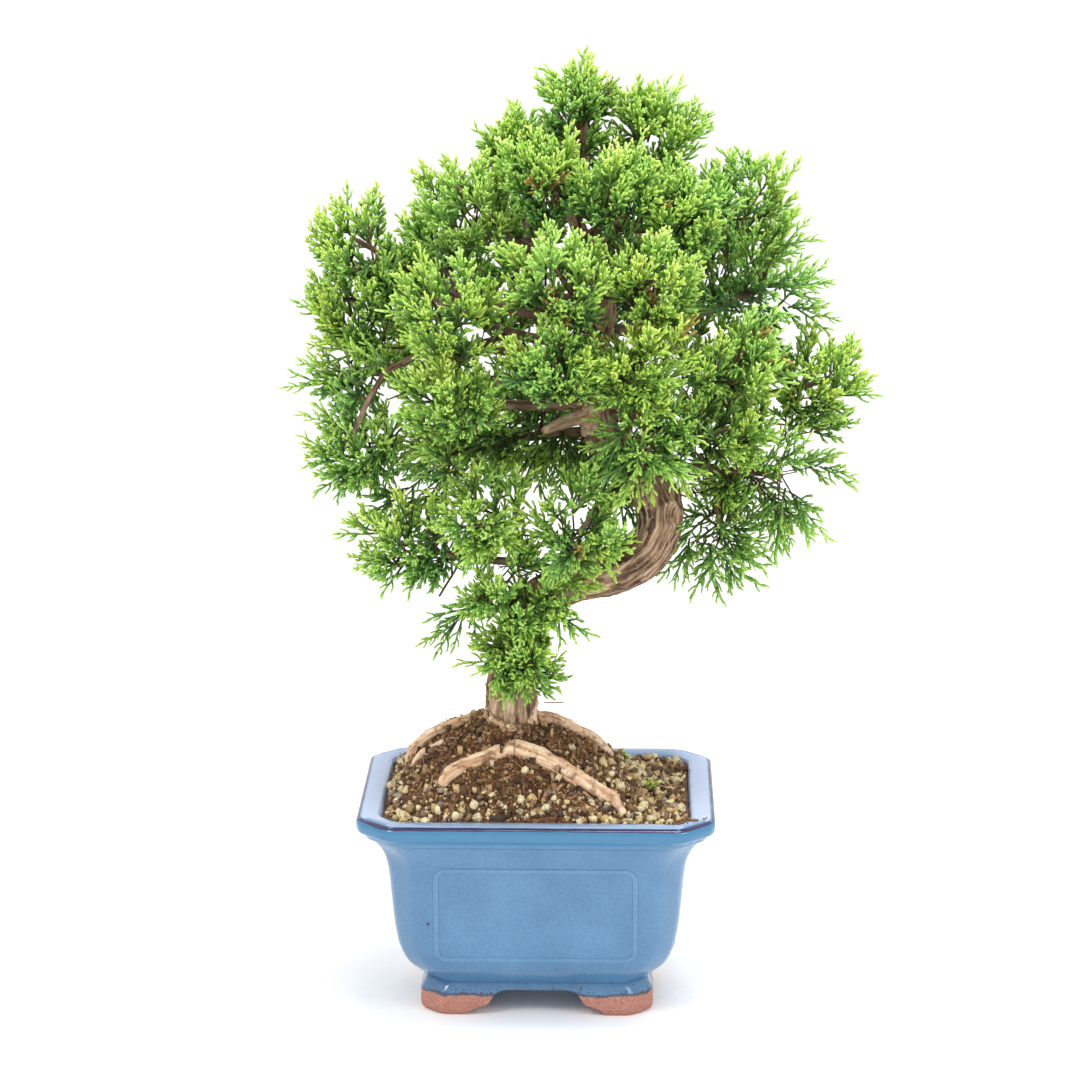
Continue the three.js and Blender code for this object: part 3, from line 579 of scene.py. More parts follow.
def draw_up(piece, rings):
    """Extrudes the plate ring by ring, where a ring is its inset, height and corner cut. Each of its
    four corners moves in or out as one, and is resized about the square corner that it stands in."""
    edit(piece)
    bpy.context.tool_settings.mesh_select_mode = (True, False, False)
    select_all()
    for (inset, height, cut), (new_inset, new_height, new_cut) in zip(rings, rings[1:]):
        extrude((0, 0, (new_height - height) * MM))
        shape = bmesh.from_edit_mesh(piece.data)
        ring = [point.index for point in shape.verts if point.select]
        ratio = new_cut / cut
        change = new_inset - inset
        for side_x, side_y in SIDES:
            shape.verts.ensure_lookup_table()
            for index in ring:
                place = shape.verts[index].co - POT_MIDDLE
                shape.verts[index].select_set(place.x * side_x > 0 and place.y * side_y > 0)
            bpy.ops.transform.translate(value=(-side_x * change * MM, -side_y * change * DEPTH_TAPER * MM, 0))
            square = at(side_x * (RIM_HALF_LENGTH - new_inset),
                        side_y * (RIM_HALF_DEPTH - new_inset * DEPTH_TAPER), new_height)
            bpy.ops.transform.resize(value=(ratio, ratio, 1), center_override=square)
        for index in ring:
            shape.verts[index].select_set(True)
        shape.select_flush(True)
    face_out()
    return piece


def pot_body():
    """The wall, drawn up from the underside, over the rim and down inside to the floor."""
    waist = [(inset, height, 0) for inset, height in WALL[:WALL_EASED]]
    eased = [(place.x, place.y) for place, _ in smooth_line(waist, 32)]
    rings = [(inset, height, corner_cut_at(height)) for inset, height in eased + WALL[WALL_EASED:]]
    for i, (inset, height) in enumerate(RIM_TOP):
        rings.append((inset, height, CORNER_CUT - MOUTH_EASE * (i + 1) / len(RIM_TOP)))
    rings += [(inset, height, corner_cut_at(height) - MOUTH_EASE) for inset, height in INSIDE]
    piece = draw_up(pot_plate("pot_body", *rings[0]), rings)
    for side in (-1, 1):
        nothing_selected()
        bpy.ops.mesh.primitive_cylinder_add(vertices=32, radius=DRAIN_RADIUS * MM, depth=2 * FLOOR_TOP * MM,
                                            location=at(side * DRAIN_OFFSET, 0, FLOOR_TOP))
        cut_away(piece, bpy.context.object)
    return piece


def cut_away(piece, cutter, operation="DIFFERENCE"):
    """Cuts one shape out of another, or joins it on, and removes the tool."""
    finish_with(piece, "BOOLEAN", object=cutter, operation=operation, solver="EXACT")
    bpy.data.objects.remove(cutter)


SHARP_EDGES = {"limit_method": "ANGLE", "angle_limit": math.radians(50)}
# The gap between two feet, from the ground up: half its width and the height
SCALLOP = [(31, -1), (31, 0), (29.4, 1.6), (27, 3.1), (24.4, 4.1), (22.4, 4.6), (20.9, 5.6), (19.8, 7.4),
           (18.6, 9.4), (16.8, 10.8), (13.5, 11.5)]


def gap_cutter(squeeze, along_y):
    """A bar in the outline of the gap between two feet: a plate extruded edge by edge."""
    piece = plate("gap", 2 * (SCALLOP[0][0] - squeeze), 2 * RIM_HALF_LENGTH)
    bpy.ops.transform.translate(value=(0, 0, SCALLOP[0][1] * MM))
    for (half, height), (new_half, new_height) in zip(SCALLOP, SCALLOP[1:]):
        extrude((0, 0, (new_height - height) * MM))
        ratio = (new_half - squeeze) / (half - squeeze)
        bpy.ops.transform.resize(value=(ratio, 1, 1), center_override=(0, 0, new_height * MM))
    face_out()
    piece.rotation_euler = (0, 0, 0 if along_y else math.pi / 2)
    piece.location = POT_MIDDLE
    return settle(piece)


# How far the plinth stands inside the rim's edge at each height
PLINTH = [(26.2, 0), (25.3, 1.2), (25, 3), (25.1, 9), (25.6, 10.6), (26.7, 12.2), (27.3, 14), (28.6, 15.5)]
RECESS_INSET = 35
SIDE_GAP_SQUEEZE = 10.6


def pot_feet():
    """The plinth, hollow below, with a scalloped gap cut through on each side. Four feet are left."""
    rings = [(inset, height, FOOT_CORNER_CUT) for inset, height in PLINTH]
    hollow = [(RECESS_INSET, height, FOOT_CORNER_CUT / 2) for height in (-1, FOOT_HEIGHT)]
    piece, recess = (draw_up(pot_plate(name, *outline[0]), outline)
                     for name, outline in (("pot_feet", rings), ("recess", hollow)))
    for cutter in (recess, gap_cutter(0, True), gap_cutter(SIDE_GAP_SQUEEZE, False)):
        cut_away(piece, cutter)
    finish_with(piece, "BEVEL", width=0.7 * MM, segments=2, **SHARP_EDGES)
    return piece


PANEL_HALF_FRONT = 44.5
PANEL_HALF_SIDE = 29
PANEL_LOW = 27.5
PANEL_HIGH = 73
PANEL_CORNER = 6
PANEL_LINE = 2.6
PANEL_MIDDLE = (PANEL_LOW + PANEL_HIGH) / 2
# How far out from the pot's middle the frame starts, before it is laid on the wall
PANEL_START = 200


def panel_line(body, half_width, facing):
    """A raised rounded frame on one face: a plate is inset to a narrow frame, laid on the wall and
    thickened."""
    outwards = Vector((math.sin(facing), -math.cos(facing), 0))
    piece = plate("panel_line", 2 * half_width, PANEL_HIGH - PANEL_LOW)
    cut_corners(PANEL_CORNER, 8)
    select_all()
    bpy.ops.mesh.inset(thickness=PANEL_LINE * MM, depth=0)
    bpy.ops.mesh.delete(type="FACE")
    select_all()
    bpy.ops.mesh.subdivide(number_cuts=5)
    done()
    piece.rotation_euler = (math.pi / 2, 0, facing)
    piece.location = POT_MIDDLE + outwards * PANEL_START * MM + Vector((0, 0, PANEL_MIDDLE * MM))
    settle(piece)
    finish_with(piece, "SHRINKWRAP", wrap_method="PROJECT", target=body, use_project_x=abs(outwards.x) > 0.5,
                use_project_y=abs(outwards.y) > 0.5, use_negative_direction=True, use_positive_direction=True)
    finish_with(piece, "SOLIDIFY", thickness=0.6 * MM, offset=0)
    finish_with(piece, "BEVEL", width=0.3 * MM, segments=2, **SHARP_EDGES)
    merge_and_face_out(piece)
    return piece


def near_frame(across, height, half_width):
    """1 on a panel's raised frame, 0 away from it."""
    out_x = across - (half_width - PANEL_CORNER)
    out_z = abs(height - PANEL_MIDDLE) - ((PANEL_HIGH - PANEL_LOW) / 2 - PANEL_CORNER)
    beyond = math.hypot(max(out_x, 0), max(out_z, 0)) + min(max(out_x, out_z), 0) - PANEL_CORNER
    return 1 if -PANEL_LINE + 0.4 < beyond < -0.4 else 0


# Between these heights the glaze breaks dark on the rim's edge, and the lip's teal starts lower down
BREAK_LOW = 93.9
BREAK_HIGH = 94.9
LIP_LOW = 85.3


def paint_pot(piece):
    """Marks where the glaze pools, breaks or changes, and where the rim's top carries painted reflection,
    point by point.
    """
    count = len(piece.data.vertices)
    rim_edge, rim_top, lip, line = (np.zeros(count) for _ in range(4))
    for i, point in enumerate(piece.data.vertices):
        place = (point.co - POT_MIDDLE) / MM
        x, y, z = abs(place.x), abs(place.y), place.z
        line[i] = max(near_frame(x, z, PANEL_HALF_FRONT), near_frame(y, z, PANEL_HALF_SIDE))
        cut = corner_cut_at(z)
        inset = min(RIM_HALF_LENGTH - x, (RIM_HALF_DEPTH - y) / DEPTH_TAPER,
                    (RIM_HALF_LENGTH + RIM_HALF_DEPTH - 0.94 * cut - x - y) / 1.48)
        rim_edge[i] = (1 if y > x - 12 else 0.72) if BREAK_LOW < z < BREAK_HIGH and inset < 0.5 else 0
        # The rim's top is painted less pale along the two long sides and palest at the short ends: painted
        # reflection of the dark soil and tree in front and of the white backdrop at the ends
        toward_short_sides = min(max((x - 55) / 14, 0), 1)
        rim_top[i] = 0.3 + 0.7 * toward_short_sides if z > 93.4 and inset > 0.9 else 0
        lip[i] = min(max((z - LIP_LOW) / 2.5, 0), 1) if inset < 7 and z < BREAK_HIGH else 0
    mark(piece, rim_edge=rim_edge, rim_top=rim_top, lip=lip, raised_line=line)


def make_pot():
    body = pot_body()
    lines = [panel_line(body, half_width, turn) for half_width, turn in (
        (PANEL_HALF_FRONT, 0), (PANEL_HALF_FRONT, math.pi), (PANEL_HALF_SIDE, math.pi / 2),
        (PANEL_HALF_SIDE, -math.pi / 2))]
    for part in (pot_feet(), *lines):
        cut_away(body, part, "UNION")
    merge_and_face_out(body)
    paint_pot(body)
    smooth(body, 38)
    body.name = "glazed_pot"
    return body


# Soil
def soil_height(x, y):
    """The mound is squarish, steeper to the left where a root holds it up, level at the pot's edge."""
    across = x - MOUND_CENTRE_X
    share_x = abs(across) / (MOUND_REACH_LEFT if across < 0 else MOUND_REACH_RIGHT)
    share_y = abs(y) / MOUND_REACH_DEEP
    distance = min((share_x ** 3 + share_y ** 3) ** (1 / 3), 1)
    leftness = min(share_x / distance, 1) if across < 0 and distance > 0 else 0
    steepness = 1.35 + leftness ** 2
    return SOIL_EDGE + MOUND_RISE * (1 - distance ** steepness)


def crumb_height(x, y):
    """Clods of 9 mm, lumps of 3.5 mm and crumbs of 1.5 mm."""
    clods = noise.noise(Vector((x / 9, y / 9, 3.1)))
    lumps = noise.noise(Vector((x / 3.5, y / 3.5, 7.7)))
    crumbs = noise.noise(Vector((x / 1.5, y / 1.5, 1.3)))
    return 1.5 * clods + 1.0 * lumps + 0.5 * crumbs


def surface_height(x, y):
    return soil_height(x, y) + crumb_height(x, y)


SOIL_HALF_LENGTH = 66.1
SOIL_HALF_DEPTH = 50.3
SOIL_CUT = 7
SOIL_THICKNESS = 12


def soil_surface():
    """A fine grid, trimmed to the pot's mouth, thickened downwards and heaped by its own rule."""
    nothing_selected()
    bpy.ops.mesh.primitive_grid_add(x_subdivisions=88, y_subdivisions=66, size=1,
                                    location=at(0, 0, SOIL_EDGE))
    piece = bpy.context.object
    piece.name = "soil_surface"
    piece.scale = (2 * SOIL_HALF_LENGTH * MM, 2 * SOIL_HALF_DEPTH * MM, 1)
    settle(piece)
    edit(piece)
    for side_x, side_y in SIDES:
        corner = at(side_x * (SOIL_HALF_LENGTH - SOIL_CUT / 2), side_y * (SOIL_HALF_DEPTH - SOIL_CUT / 2),
                    SOIL_EDGE)
        select_all()
        bpy.ops.mesh.bisect(plane_co=corner, plane_no=(side_x, side_y, 0), clear_outer=True)
    select_all()
    bpy.ops.mesh.remove_doubles(threshold=0.2 * MM)
    select_all()
    extrude((0, 0, -SOIL_THICKNESS * MM))
    face_out()
    for point in piece.data.vertices:
        place = (point.co - POT_MIDDLE) / MM
        if place.z > SOIL_EDGE - 1:
            point.co.z = POT_MIDDLE.z + surface_height(place.x, place.y) * MM
    smooth(piece, 60)
    return piece


def shape_of(piece, slot=0):
    """A modelled shape's points, faces and how young each point is, as numbers that copies are made
    from."""
    points = np.array([tuple(point.co) for point in piece.data.vertices])
    faces = [tuple(face.vertices) for face in piece.data.polygons]
    youth = np.zeros(len(points))
    if "youth" in piece.data.attributes:
        piece.data.attributes["youth"].data.foreach_get("value", youth)
    bpy.data.objects.remove(piece)
    return points, faces, youth, slot


def grain_shapes(stretch, seeds, cuts=0):
    """Small angular lumps, a millimetre across before they are stretched: cubes that are cut up,
    rounded and knocked out of true."""
    made = []
    for seed in seeds:
        nothing_selected()
        bpy.ops.mesh.primitive_cube_add(size=1 * MM, location=(0, 0, 0))
        piece = bpy.context.object
        edit(piece)
        select_all()
        if cuts:
            bpy.ops.mesh.subdivide(number_cuts=cuts)
            bpy.ops.transform.tosphere(value=0.2)
        bpy.ops.transform.vertex_random(offset=0.16 * MM, uniform=0.6, normal=0.2, seed=seed)
        bpy.ops.transform.resize(value=stretch)
        done()
        made.append(shape_of(piece))
    return made


def copies(name, shapes, places, values, materials):
    """One mesh with a copy of a shape at each place. places holds (shape number, matrix, move), and
    values gives each attribute one number a copy."""
    points, faces, youth, slots = [], [], [], []
    marks = {key: [] for key in values}
    count = 0
    for i, (which, matrix, move) in enumerate(places):
        own_points, own_faces, own_youth, slot = shapes[which]
        points.append(own_points @ np.array(matrix).T + np.array(move))
        faces.extend([tuple(count + corner for corner in face) for face in own_faces])
        slots.extend([slot] * len(own_faces))
        youth.append(own_youth)
        count += len(own_points)
        for key in values:
            marks[key].append(np.full(len(own_points), values[key][i]))
    mesh = bpy.data.meshes.new(name)
    mesh.from_pydata(np.concatenate(points).tolist(), [], faces)
    marks["youth"] = youth
    for material in materials:
        mesh.materials.append(material)
    mesh.polygons.foreach_set("material_index", slots)
    mesh.shade_smooth()
    piece = bpy.data.objects.new(name, mesh)
    bpy.context.scene.collection.objects.link(piece)
    mark(piece, **{key: np.concatenate(numbers) for key, numbers in marks.items()})
    return piece


def random_turn(draw):
    return Euler([draw.uniform(0, FULL_TURN) for _ in range(3)]).to_matrix()


def shaken(draw, spread):
    """A small move in any direction."""
    return Vector([draw.gauss(0, spread) for _ in range(3)])


def inside_mouth(x, y, margin):
    half_x, half_y = SOIL_HALF_LENGTH - margin, SOIL_HALF_DEPTH - margin
    return abs(x) < half_x and abs(y) < half_y and abs(x) + abs(y) < half_x + half_y - SOIL_CUT


def scattered_grains(name, shapes, count, sizes, wanted, sink, material, draw):
    """Strews grains over the soil. wanted(x, y) is how likely one is to lie there."""
    places, tones = [], []
    while len(places) < count:
        x = draw.uniform(-SOIL_HALF_LENGTH, SOIL_HALF_LENGTH)
        y = draw.uniform(-SOIL_HALF_DEPTH, SOIL_HALF_DEPTH)
        if not inside_mouth(x, y, 1.5) or draw.random() > wanted(x, y):
            continue
        size = sizes[0] + (sizes[1] - sizes[0]) * draw.random() ** 2
        move = at(x, y, surface_height(x, y) + size * (0.5 - sink))
        places.append((draw.randrange(len(shapes)), random_turn(draw) * size, move))
        tones.append(draw.random())
    return copies(name, shapes, places, {"tone": tones}, [material])


# The grit lies thick at the pot's edge, and thins out up the mound to this height
GRIT_TOP = 118
GRIT_FADE = 20


def make_soil():
    draw = random.Random(11)
    surface = soil_surface()
    surface.data.materials.append(peat())
    lumps = grain_shapes((1.1, 0.85, 0.65), (2, 5, 8, 12), 1)
    chips = grain_shapes((1.5, 0.8, 0.3), (3, 6))
    crumbs = grain_shapes((1, 0.9, 0.8), (1, 4))
    fibres = grain_shapes((6, 0.35, 0.3), (7, 9))
    pumice = mineral("crushed_pumice", [(0.0, "#A38A5E"), (0.25, "#E0CA93"), (0.5, "#F6E8BC"),
                                        (0.8, "#D2BF9C"), (1.0, "#DDBB78")], 1.2)
    bark = mineral("composted_bark_chips", [(0.0, "#35251A"), (0.4, "#7D5C40"), (0.8, "#A98661"),
                                            (1.0, "#D0AE7C")], 1.6)
    grit = mineral("mixed_grit", [(0.0, "#4A3D34"), (0.5, "#8E7867"), (1.0, "#B9A998")], 0.8)
    fibre = mineral("coir_fibre", [(0.0, "#6B4526"), (0.5, "#A87440"), (1.0, "#D6A466")], 1.0)

    def edgeward(x, y):
        low = min(max((GRIT_TOP - soil_height(x, y)) / GRIT_FADE, 0), 1)
        return 0.03 + 0.97 * low * low

    def inward(x, y):
        return 1.1 - 0.8 * edgeward(x, y)

    def anywhere(x, y):
        return 1

    # Each kind's name, shapes, count, smallest and largest size, likely place, share sunk in, material
    strewn = [
        ("pumice", lumps, 520, (1.2, 3.5), edgeward, 0.25, pumice),
        ("pumice_dust", crumbs, 700, (0.6, 1.5), edgeward, 0.2, pumice),
        ("bark_chips", chips, 950, (1.2, 3.6), anywhere, 0.2, bark),
        ("grit", lumps, 260, (0.9, 3.0), edgeward, 0.25, grit),
        ("crumbs", crumbs, 2600, (0.6, 1.7), anywhere, 0.2, bark),
        ("fibres", fibres, 700, (0.5, 1.3), inward, 0.3, fibre),
    ]
    return [surface, *[scattered_grains(*kind, draw) for kind in strewn],
            spilled_crumbs(crumbs + chips, bark, draw), dark_stone(lumps, grit),
            root_hairs(fibres, fibre, draw)]


# Where crumbs fell over the rim, and the height of the rim's flat top
SPILL_X = 66
SPILL_Y = -50.5
RIM_FLAT = 95.3


def spilled_crumbs(shapes, material, draw):
    """Crumbs that fell over the rim's front right corner."""
    places = []
    for _ in range(46):
        x = SPILL_X + draw.gauss(0, 4)
        y = SPILL_Y + draw.gauss(0, 2.2) + 0.35 * (x - SPILL_X)
        if abs(x) + abs(y) > RIM_HALF_LENGTH + RIM_HALF_DEPTH - CORNER_CUT - 3:
            continue
        size = draw.uniform(0.6, 1.7)
        places.append((draw.randrange(len(shapes)), random_turn(draw) * size, at(x, y, RIM_FLAT)))
    return copies("spilled_crumbs", shapes, places, {"tone": [0.4] * len(places)}, [material])


def dark_stone(shapes, material):
    """One large dark stone at the front."""
    turned = Euler((0.2, 0.1, 0.3)).to_matrix() @ Matrix.Diagonal((9, 7, 6))
    return copies("dark_stone", shapes, [(2, turned, at(-15, -45.5, 94.6))], {"tone": [-0.6]}, [material])


def root_hairs(shapes, material, draw):
    """Fine roots that hang under the arched root, and one that sticks out of the trunk's foot."""
    places = [(0, Euler((0, 0.05, 0.1)).to_matrix() * 1.5, at(7, 0, 133.6))]
    for _ in range(34):
        x = draw.uniform(-26, 16)
        leaning = Euler((draw.gauss(0, 0.3), 1.57 + draw.gauss(0, 0.4), draw.uniform(0, 3.1))).to_matrix()
        top = at(x, -23 - 0.14 * x + draw.gauss(0, 1.5), 108.5 - 0.12 * abs(x + 9))
        places.append((draw.randrange(2), leaning * draw.uniform(0.9, 2.0), top))
    return copies("root_hairs", shapes, places, {"tone": [0.3] * len(places)}, [material])


# Wood
TRUNK_LINE = [
    (-12, 0, 106), (-12, 0, 122), (-11.5, 0, 134), (-12, 0, 147), (-9, -2, 163), (-2, -6, 179),
    (14, -10, 191.5), (34, -14, 197.5), (48, -16, 208), (53, -14, 223), (46, -9, 237), (35, -4, 246),
    (26, 0, 257), (20, 2, 275), (25, 2, 295), (29, 2, 312), (24, 0, 330), (15, 0, 352), (20, 0, 376),
    (18, 0, 396),
]
TRUNK_RADII = [9, 12.6, 11.2, 9.8, 9, 8.8, 9, 9.6, 10.2, 10, 9.8, 8.8, 7.6, 6.6, 5.6, 5, 4.2, 3.4, 2.6, 1.6]
ROOTS = [
    ([(0, -21, 114.5), (-7, -19, 116.6), (-12, -19.5, 117), (-18, -22, 116), (-28, -26.5, 113.6),
      (-37, -31, 110.5), (-41, -34, 105)],
     [3, 4.4, 4.8, 4.2, 3.6, 3.6, 2.6]),
    ([(-11, -6, 110), (-9, -18.5, 117), (3, -24, 115), (14, -29, 110.5), (25, -34, 105.5), (33, -37, 101.5),
      (38, -40, 95)],
     [3.4, 5, 4.4, 4, 3.5, 2.8, 1.8]),
    ([(-15, 1, 120), (-26, 2, 124), (-38, 3, 122), (-50, 3, 116), (-56, 4, 108), (-58, 5, 98)],
     [4.6, 3.8, 2.8, 2.6, 2.6, 1.8]),
    ([(-15, -4, 116), (-30, -8, 119.5), (-46, -9, 115.5), (-53, -10, 110), (-56, -11, 101)],
     [4, 2.4, 2, 1.8, 1.2]),
    ([(-8, 2, 121), (1, 3, 125.5), (9, 6, 123), (18, 9, 118), (27, 12, 111), (33, 14, 103), (36, 16, 95)],
     [4.6, 3.8, 3.2, 3.1, 2.9, 2.4, 1.6]),
    ([(-13, 5, 118), (-19, 20, 116), (-25, 33, 107), (-28, 40, 95)],
     [4.2, 3.6, 2.8, 1.8]),
    ([(-9, 4, 118), (3, 20, 115), (11, 32, 106), (15, 40, 94)],
     [4.2, 3.4, 2.6, 1.6]),
]
STUB = ([(24, 2, 262), (12, -12, 262), (3, -21, 260)], [3.6, 2.8, 2.2])

# Foliage pads: the middle of each, its half sizes, and either the height at which its bough leaves
# the trunk or the pad whose bough its side branch forks off. The last item is "airy" for a loose
# spray, or the points that its branch passes through.
PADS = [
    ("apex", (16, 0, 400), (18, 18, 18), 376, None),
    ("top_right", (50, 4, 392), (23, 20, 18), 356, None),
    ("top_left", (-8, 8, 382), (18, 16, 14), 352, None),
    ("shoulder_left", (-34, -18, 364), (25, 22, 20), 326, None),
    ("upper_front", (36, -32, 371), (23, 19, 19), 340, None),
    ("upper_front_left", (2, -30, 375), (20, 18, 19), "upper_front", None),
    ("shoulder_right", (91, 0, 361), (26, 21, 21), 322, None),
    ("upper_front_right", (65, -28, 358), (19, 19, 21), "shoulder_right", None),
    ("outer_left_top", (-80, -2, 340), (28, 22, 23), 302, None),
    ("outer_left", (-84, 4, 312), (22, 22, 21), "outer_left_top", None),
    ("front_left", (-40, -54, 321), (25, 22, 26), 294, None),
    ("front_middle", (8, -60, 337), (25, 20, 20), 310, None),
    ("front_right", (52, -52, 332), (23, 20, 21), "front_middle", None),
    ("outer_right_airy", (99, 0, 320), (23, 22, 23), 298, "airy"),
    ("left_needles", (-82, 2, 281), (18, 20, 18), 276, "airy"),
    ("left_low", (-82, 0, 248), (23, 22, 24), "front_left", [(-58, -36, 292), (-74, -26, 268)]),
    ("front_left_low", (-38, -54, 282), (26, 21, 20), 268, None),
    ("front_low", (6, -68, 301), (22, 18, 18), "front_right_low", None),
    ("front_right_low", (45, -58, 297), (22, 20, 21), 282, None),
    ("right_middle", (87, -34, 297), (27, 21, 19), "right_tip", None),
    ("right_tip", (127, 0, 279), (21, 20, 23), 262, None),
    ("right_low", (84, -30, 263), (28, 21, 18), 252, None),
    ("right_drooping", (106, -4, 237), (24, 20, 26), 242, "airy"),
    ("right_hanging", (80, -6, 209), (16, 15, 18), "right_drooping", "airy"),
    ("over_trunk", (48, -44, 258), (19, 16, 18), "low_front_right", "airy"),
    ("low_left", (-58, -28, 212), (29, 21, 23), "low_front_left", None),
    ("low_front_left", (-24, -46, 226), (24, 21, 24), 194, None),
    ("low_front_right", (18, -50, 222), (25, 20, 29), 238, None),
    ("trailing_upper", (-9, -36, 187), (37, 20, 21), 180, None),
    ("trailing_tip", (-9, -31, 160), (22, 15, 17), "trailing_upper", None),
    ("inner_left", (-38, 6, 243), (22, 20, 18), 256, "airy"),
    ("back_left_top", (-50, 42, 333), (25, 23, 22), "outer_left_top", None),
    ("back_top", (-6, 44, 356), (25, 22, 22), "shoulder_left", None),
    ("back_top_right", (42, 42, 358), (26, 22, 22), 334, None),
    ("back_right_top", (82, 40, 328), (26, 23, 23), "back_top_right", None),
    ("back_left", (-60, 46, 288), (26, 23, 24), 286, None),
    ("back_middle_left", (-16, 66, 312), (27, 22, 24), "back_middle_right", None),
    ("back_middle_right", (36, 66, 314), (28, 22, 24), 300, None),
    ("back_right", (86, 44, 284), (27, 23, 23), "right_tip", None),
    ("back_low_left", (-40, 42, 248), (22, 20, 20), "inner_left", "airy"),
    ("back_low_right", (42, 52, 262), (26, 22, 22), 256, None),
    ("back_low", (-2, 54, 264), (24, 22, 22), "back_low_right", None),
]
CROWN_CENTRE = Vector((18, 0, 285))


def trunk_at(height):
    """The trunk's middle at a height."""
    for low, high in zip(TRUNK_LINE, TRUNK_LINE[1:]):
        if low[2] <= height <= high[2]:
            return Vector(low).lerp(Vector(high), (height - low[2]) / (high[2] - low[2]))
    return Vector(TRUNK_LINE[-1])


def knee_between(start, end):
    """Where a branch bends: half-way out, and not yet a third of the way up."""
    return Vector(((start.x + end.x) / 2, (start.y + end.y) / 2, start.z + 0.3 * (end.z - start.z)))


def branch_lines():
    """The line and the radii of every bough and side branch."""
    rows = {row[0]: row for row in PADS}
    knees = {}
    for name, middle, _, parent, _ in PADS:
        if not isinstance(parent, str):
            knees[name] = knee_between(trunk_at(parent), Vector(middle))
    lines = []
    for _, middle, _, parent, extra in PADS:
        side_branch = isinstance(parent, str)
        if side_branch and parent not in knees:
            row = rows[parent]
            knees[parent] = (knees[row[3]] + Vector(row[1])) / 2
        start = knees[parent] if side_branch else trunk_at(parent)
        end = Vector(middle)
        through = [knee_between(start, end)]
        thick = (1.3 if side_branch else 1.7) + (end - start).length * 0.014
        if isinstance(extra, list):
            through = [Vector(place) for place in extra]
            thick *= 0.65
        lines.append(([tuple(place) for place in (start, *through, end)], [thick, 0.75 * thick, 1.0]))
    return lines


KNOT = Vector((57, -22, 224))
NOTCH = Vector((57.5, -21, 212))
CRACK_X = -16.5
CRACK_LOW = 118
CRACK_HIGH = 160


def bell(distance, width):
    """1 at no distance, and nearly 0 at twice the width."""
    return math.exp(-(distance / width) ** 2)


def streaks(place, width, length, shift=0):
    """A pattern as wide and as long as given, in a limb's straightened space."""
    return noise.noise(Vector((place[0] / width, place[1] / width, place[2] / length + shift)))


def weather(piece, grain, paleness):
    """Draws the wood in and out along its grain: ropes of old growth, strips of bark, a hollow knot
    where a branch rotted out, and a crack up the foot of the trunk."""
    normals = numbers_of(piece.data.vertices, "normal")
    for i, point in enumerate(piece.data.vertices):
        across, aside, _ = grain[i] / MM
        place = (point.co - POT_MIDDLE) / MM
        thick = math.hypot(across, aside)
        ropes = streaks(grain[i] / MM, 5, 38)
        strips = streaks(grain[i] / MM, 1.7, 15)
        furrow = streaks(grain[i] / MM, 3.4, 30, 9)
        calm = 1 - 0.65 * paleness[i]
        push = (0.24 * ropes * min(thick, 9) + 0.75 * strips) * min(thick / 4, 1) * calm
        push -= 1.4 * calm * min(thick / 7, 1) * bell(furrow, 0.06)
        push += (1 - calm) * (1.3 * noise.noise(place / 6) + 0.5 * noise.noise(place / 2.5))
        knot = (place - KNOT).length
        if knot < 8:
            push += 1.5 * bell(knot - 5, 1.6) - 3.2 * bell(knot, 3.0)
        notch = (place - NOTCH).length
        if notch < 6:
            push -= 2.2 * bell(notch, 2.2)
        if CRACK_LOW < place.z < CRACK_HIGH and place.y < 0:
            push -= 2.0 * bell(place.x - CRACK_X + 1.6 * math.sin(place.z / 7), 0.9)
        point.co += Vector(normals[i]) * push * MM


def make_wood():
    lines = [(TRUNK_LINE, TRUNK_RADII), *ROOTS, STUB]
    trunk = limb("trunk", TRUNK_LINE, TRUNK_RADII, 20, 60)
    roots = [limb("root", line, radii, 12, 16) for line, radii in ROOTS]
    stub = limb("stub", *STUB, 12, 6)
    wood = joined([trunk, *roots, stub], "trunk_and_roots")
    finish_with(wood, "REMESH", mode="VOXEL", voxel_size=0.95 * MM)
    finish_with(wood, "SMOOTH", factor=0.5, iterations=4)
    grain, paleness = straighten(wood, lines, [0.0] + [1.0] * len(ROOTS) + [0.5])
    weather(wood, grain, paleness)
    smooth(wood, 180)
    branches = branch_lines()
    boughs = joined([limb("bough", line, radii, 7, 9) for line, radii in branches], "boughs")
    straighten(boughs, branches, [0.1] * len(branches))
    smooth(boughs, 180)
    wood.data.materials.append(shaggy_bark("old_juniper_bark", 1.0))
    # The boughs inside the crown get the same bark at half brightness: painted shade
    boughs.data.materials.append(shaggy_bark("shaded_bough_bark", 0.5))
    return joined([wood, boughs], "juniper_wood")


# Foliage
def empty_piece(name):
    """A piece with nothing in it yet, left in edit mode for its parts to be drawn in."""
    nothing_selected()
    bpy.ops.mesh.primitive_plane_add(size=1 * MM, location=(0, 0, 0))
    piece = bpy.context.object
    piece.name = name
    piece.data.attributes.new("youth", "FLOAT", "POINT")
    edit(piece)
    bpy.context.tool_settings.mesh_select_mode = (True, False, False)
    select_all()
    bpy.ops.mesh.delete(type="VERT")
    return piece


def shoot(piece, line, radius, old, young):
    """Draws one blunt shoot through a line of places, in edit mode: a ring that is extruded from place
    to place and closed at the last. The leaves on it are as old at its foot and young at its tip as
    old and young say."""
    turned = (line[1] - line[0]).to_track_quat("Z", "Y").to_euler()
    bpy.ops.mesh.primitive_circle_add(vertices=SHOOT_SIDES, radius=radius * MM, fill_type="NGON",
                                      location=line[0] * MM, rotation=turned)
    for i, place in enumerate(line):
        if i:
            extrude((place - line[i - 1]) * MM)
        if i == len(line) - 1:
            bpy.ops.mesh.merge(type="CENTER")
        shape = bmesh.from_edit_mesh(piece.data)
        age = shape.verts.layers.float["youth"]
        for point in shape.verts:
            if point.select:
                point[age] = old + (young - old) * i / (len(line) - 1)
        bmesh.update_edit_mesh(piece.data)


def drawn(piece, slot=0):
    """Ends the drawing of a piece and turns it into numbers to copy."""
    face_out()
    return shape_of(piece, slot)


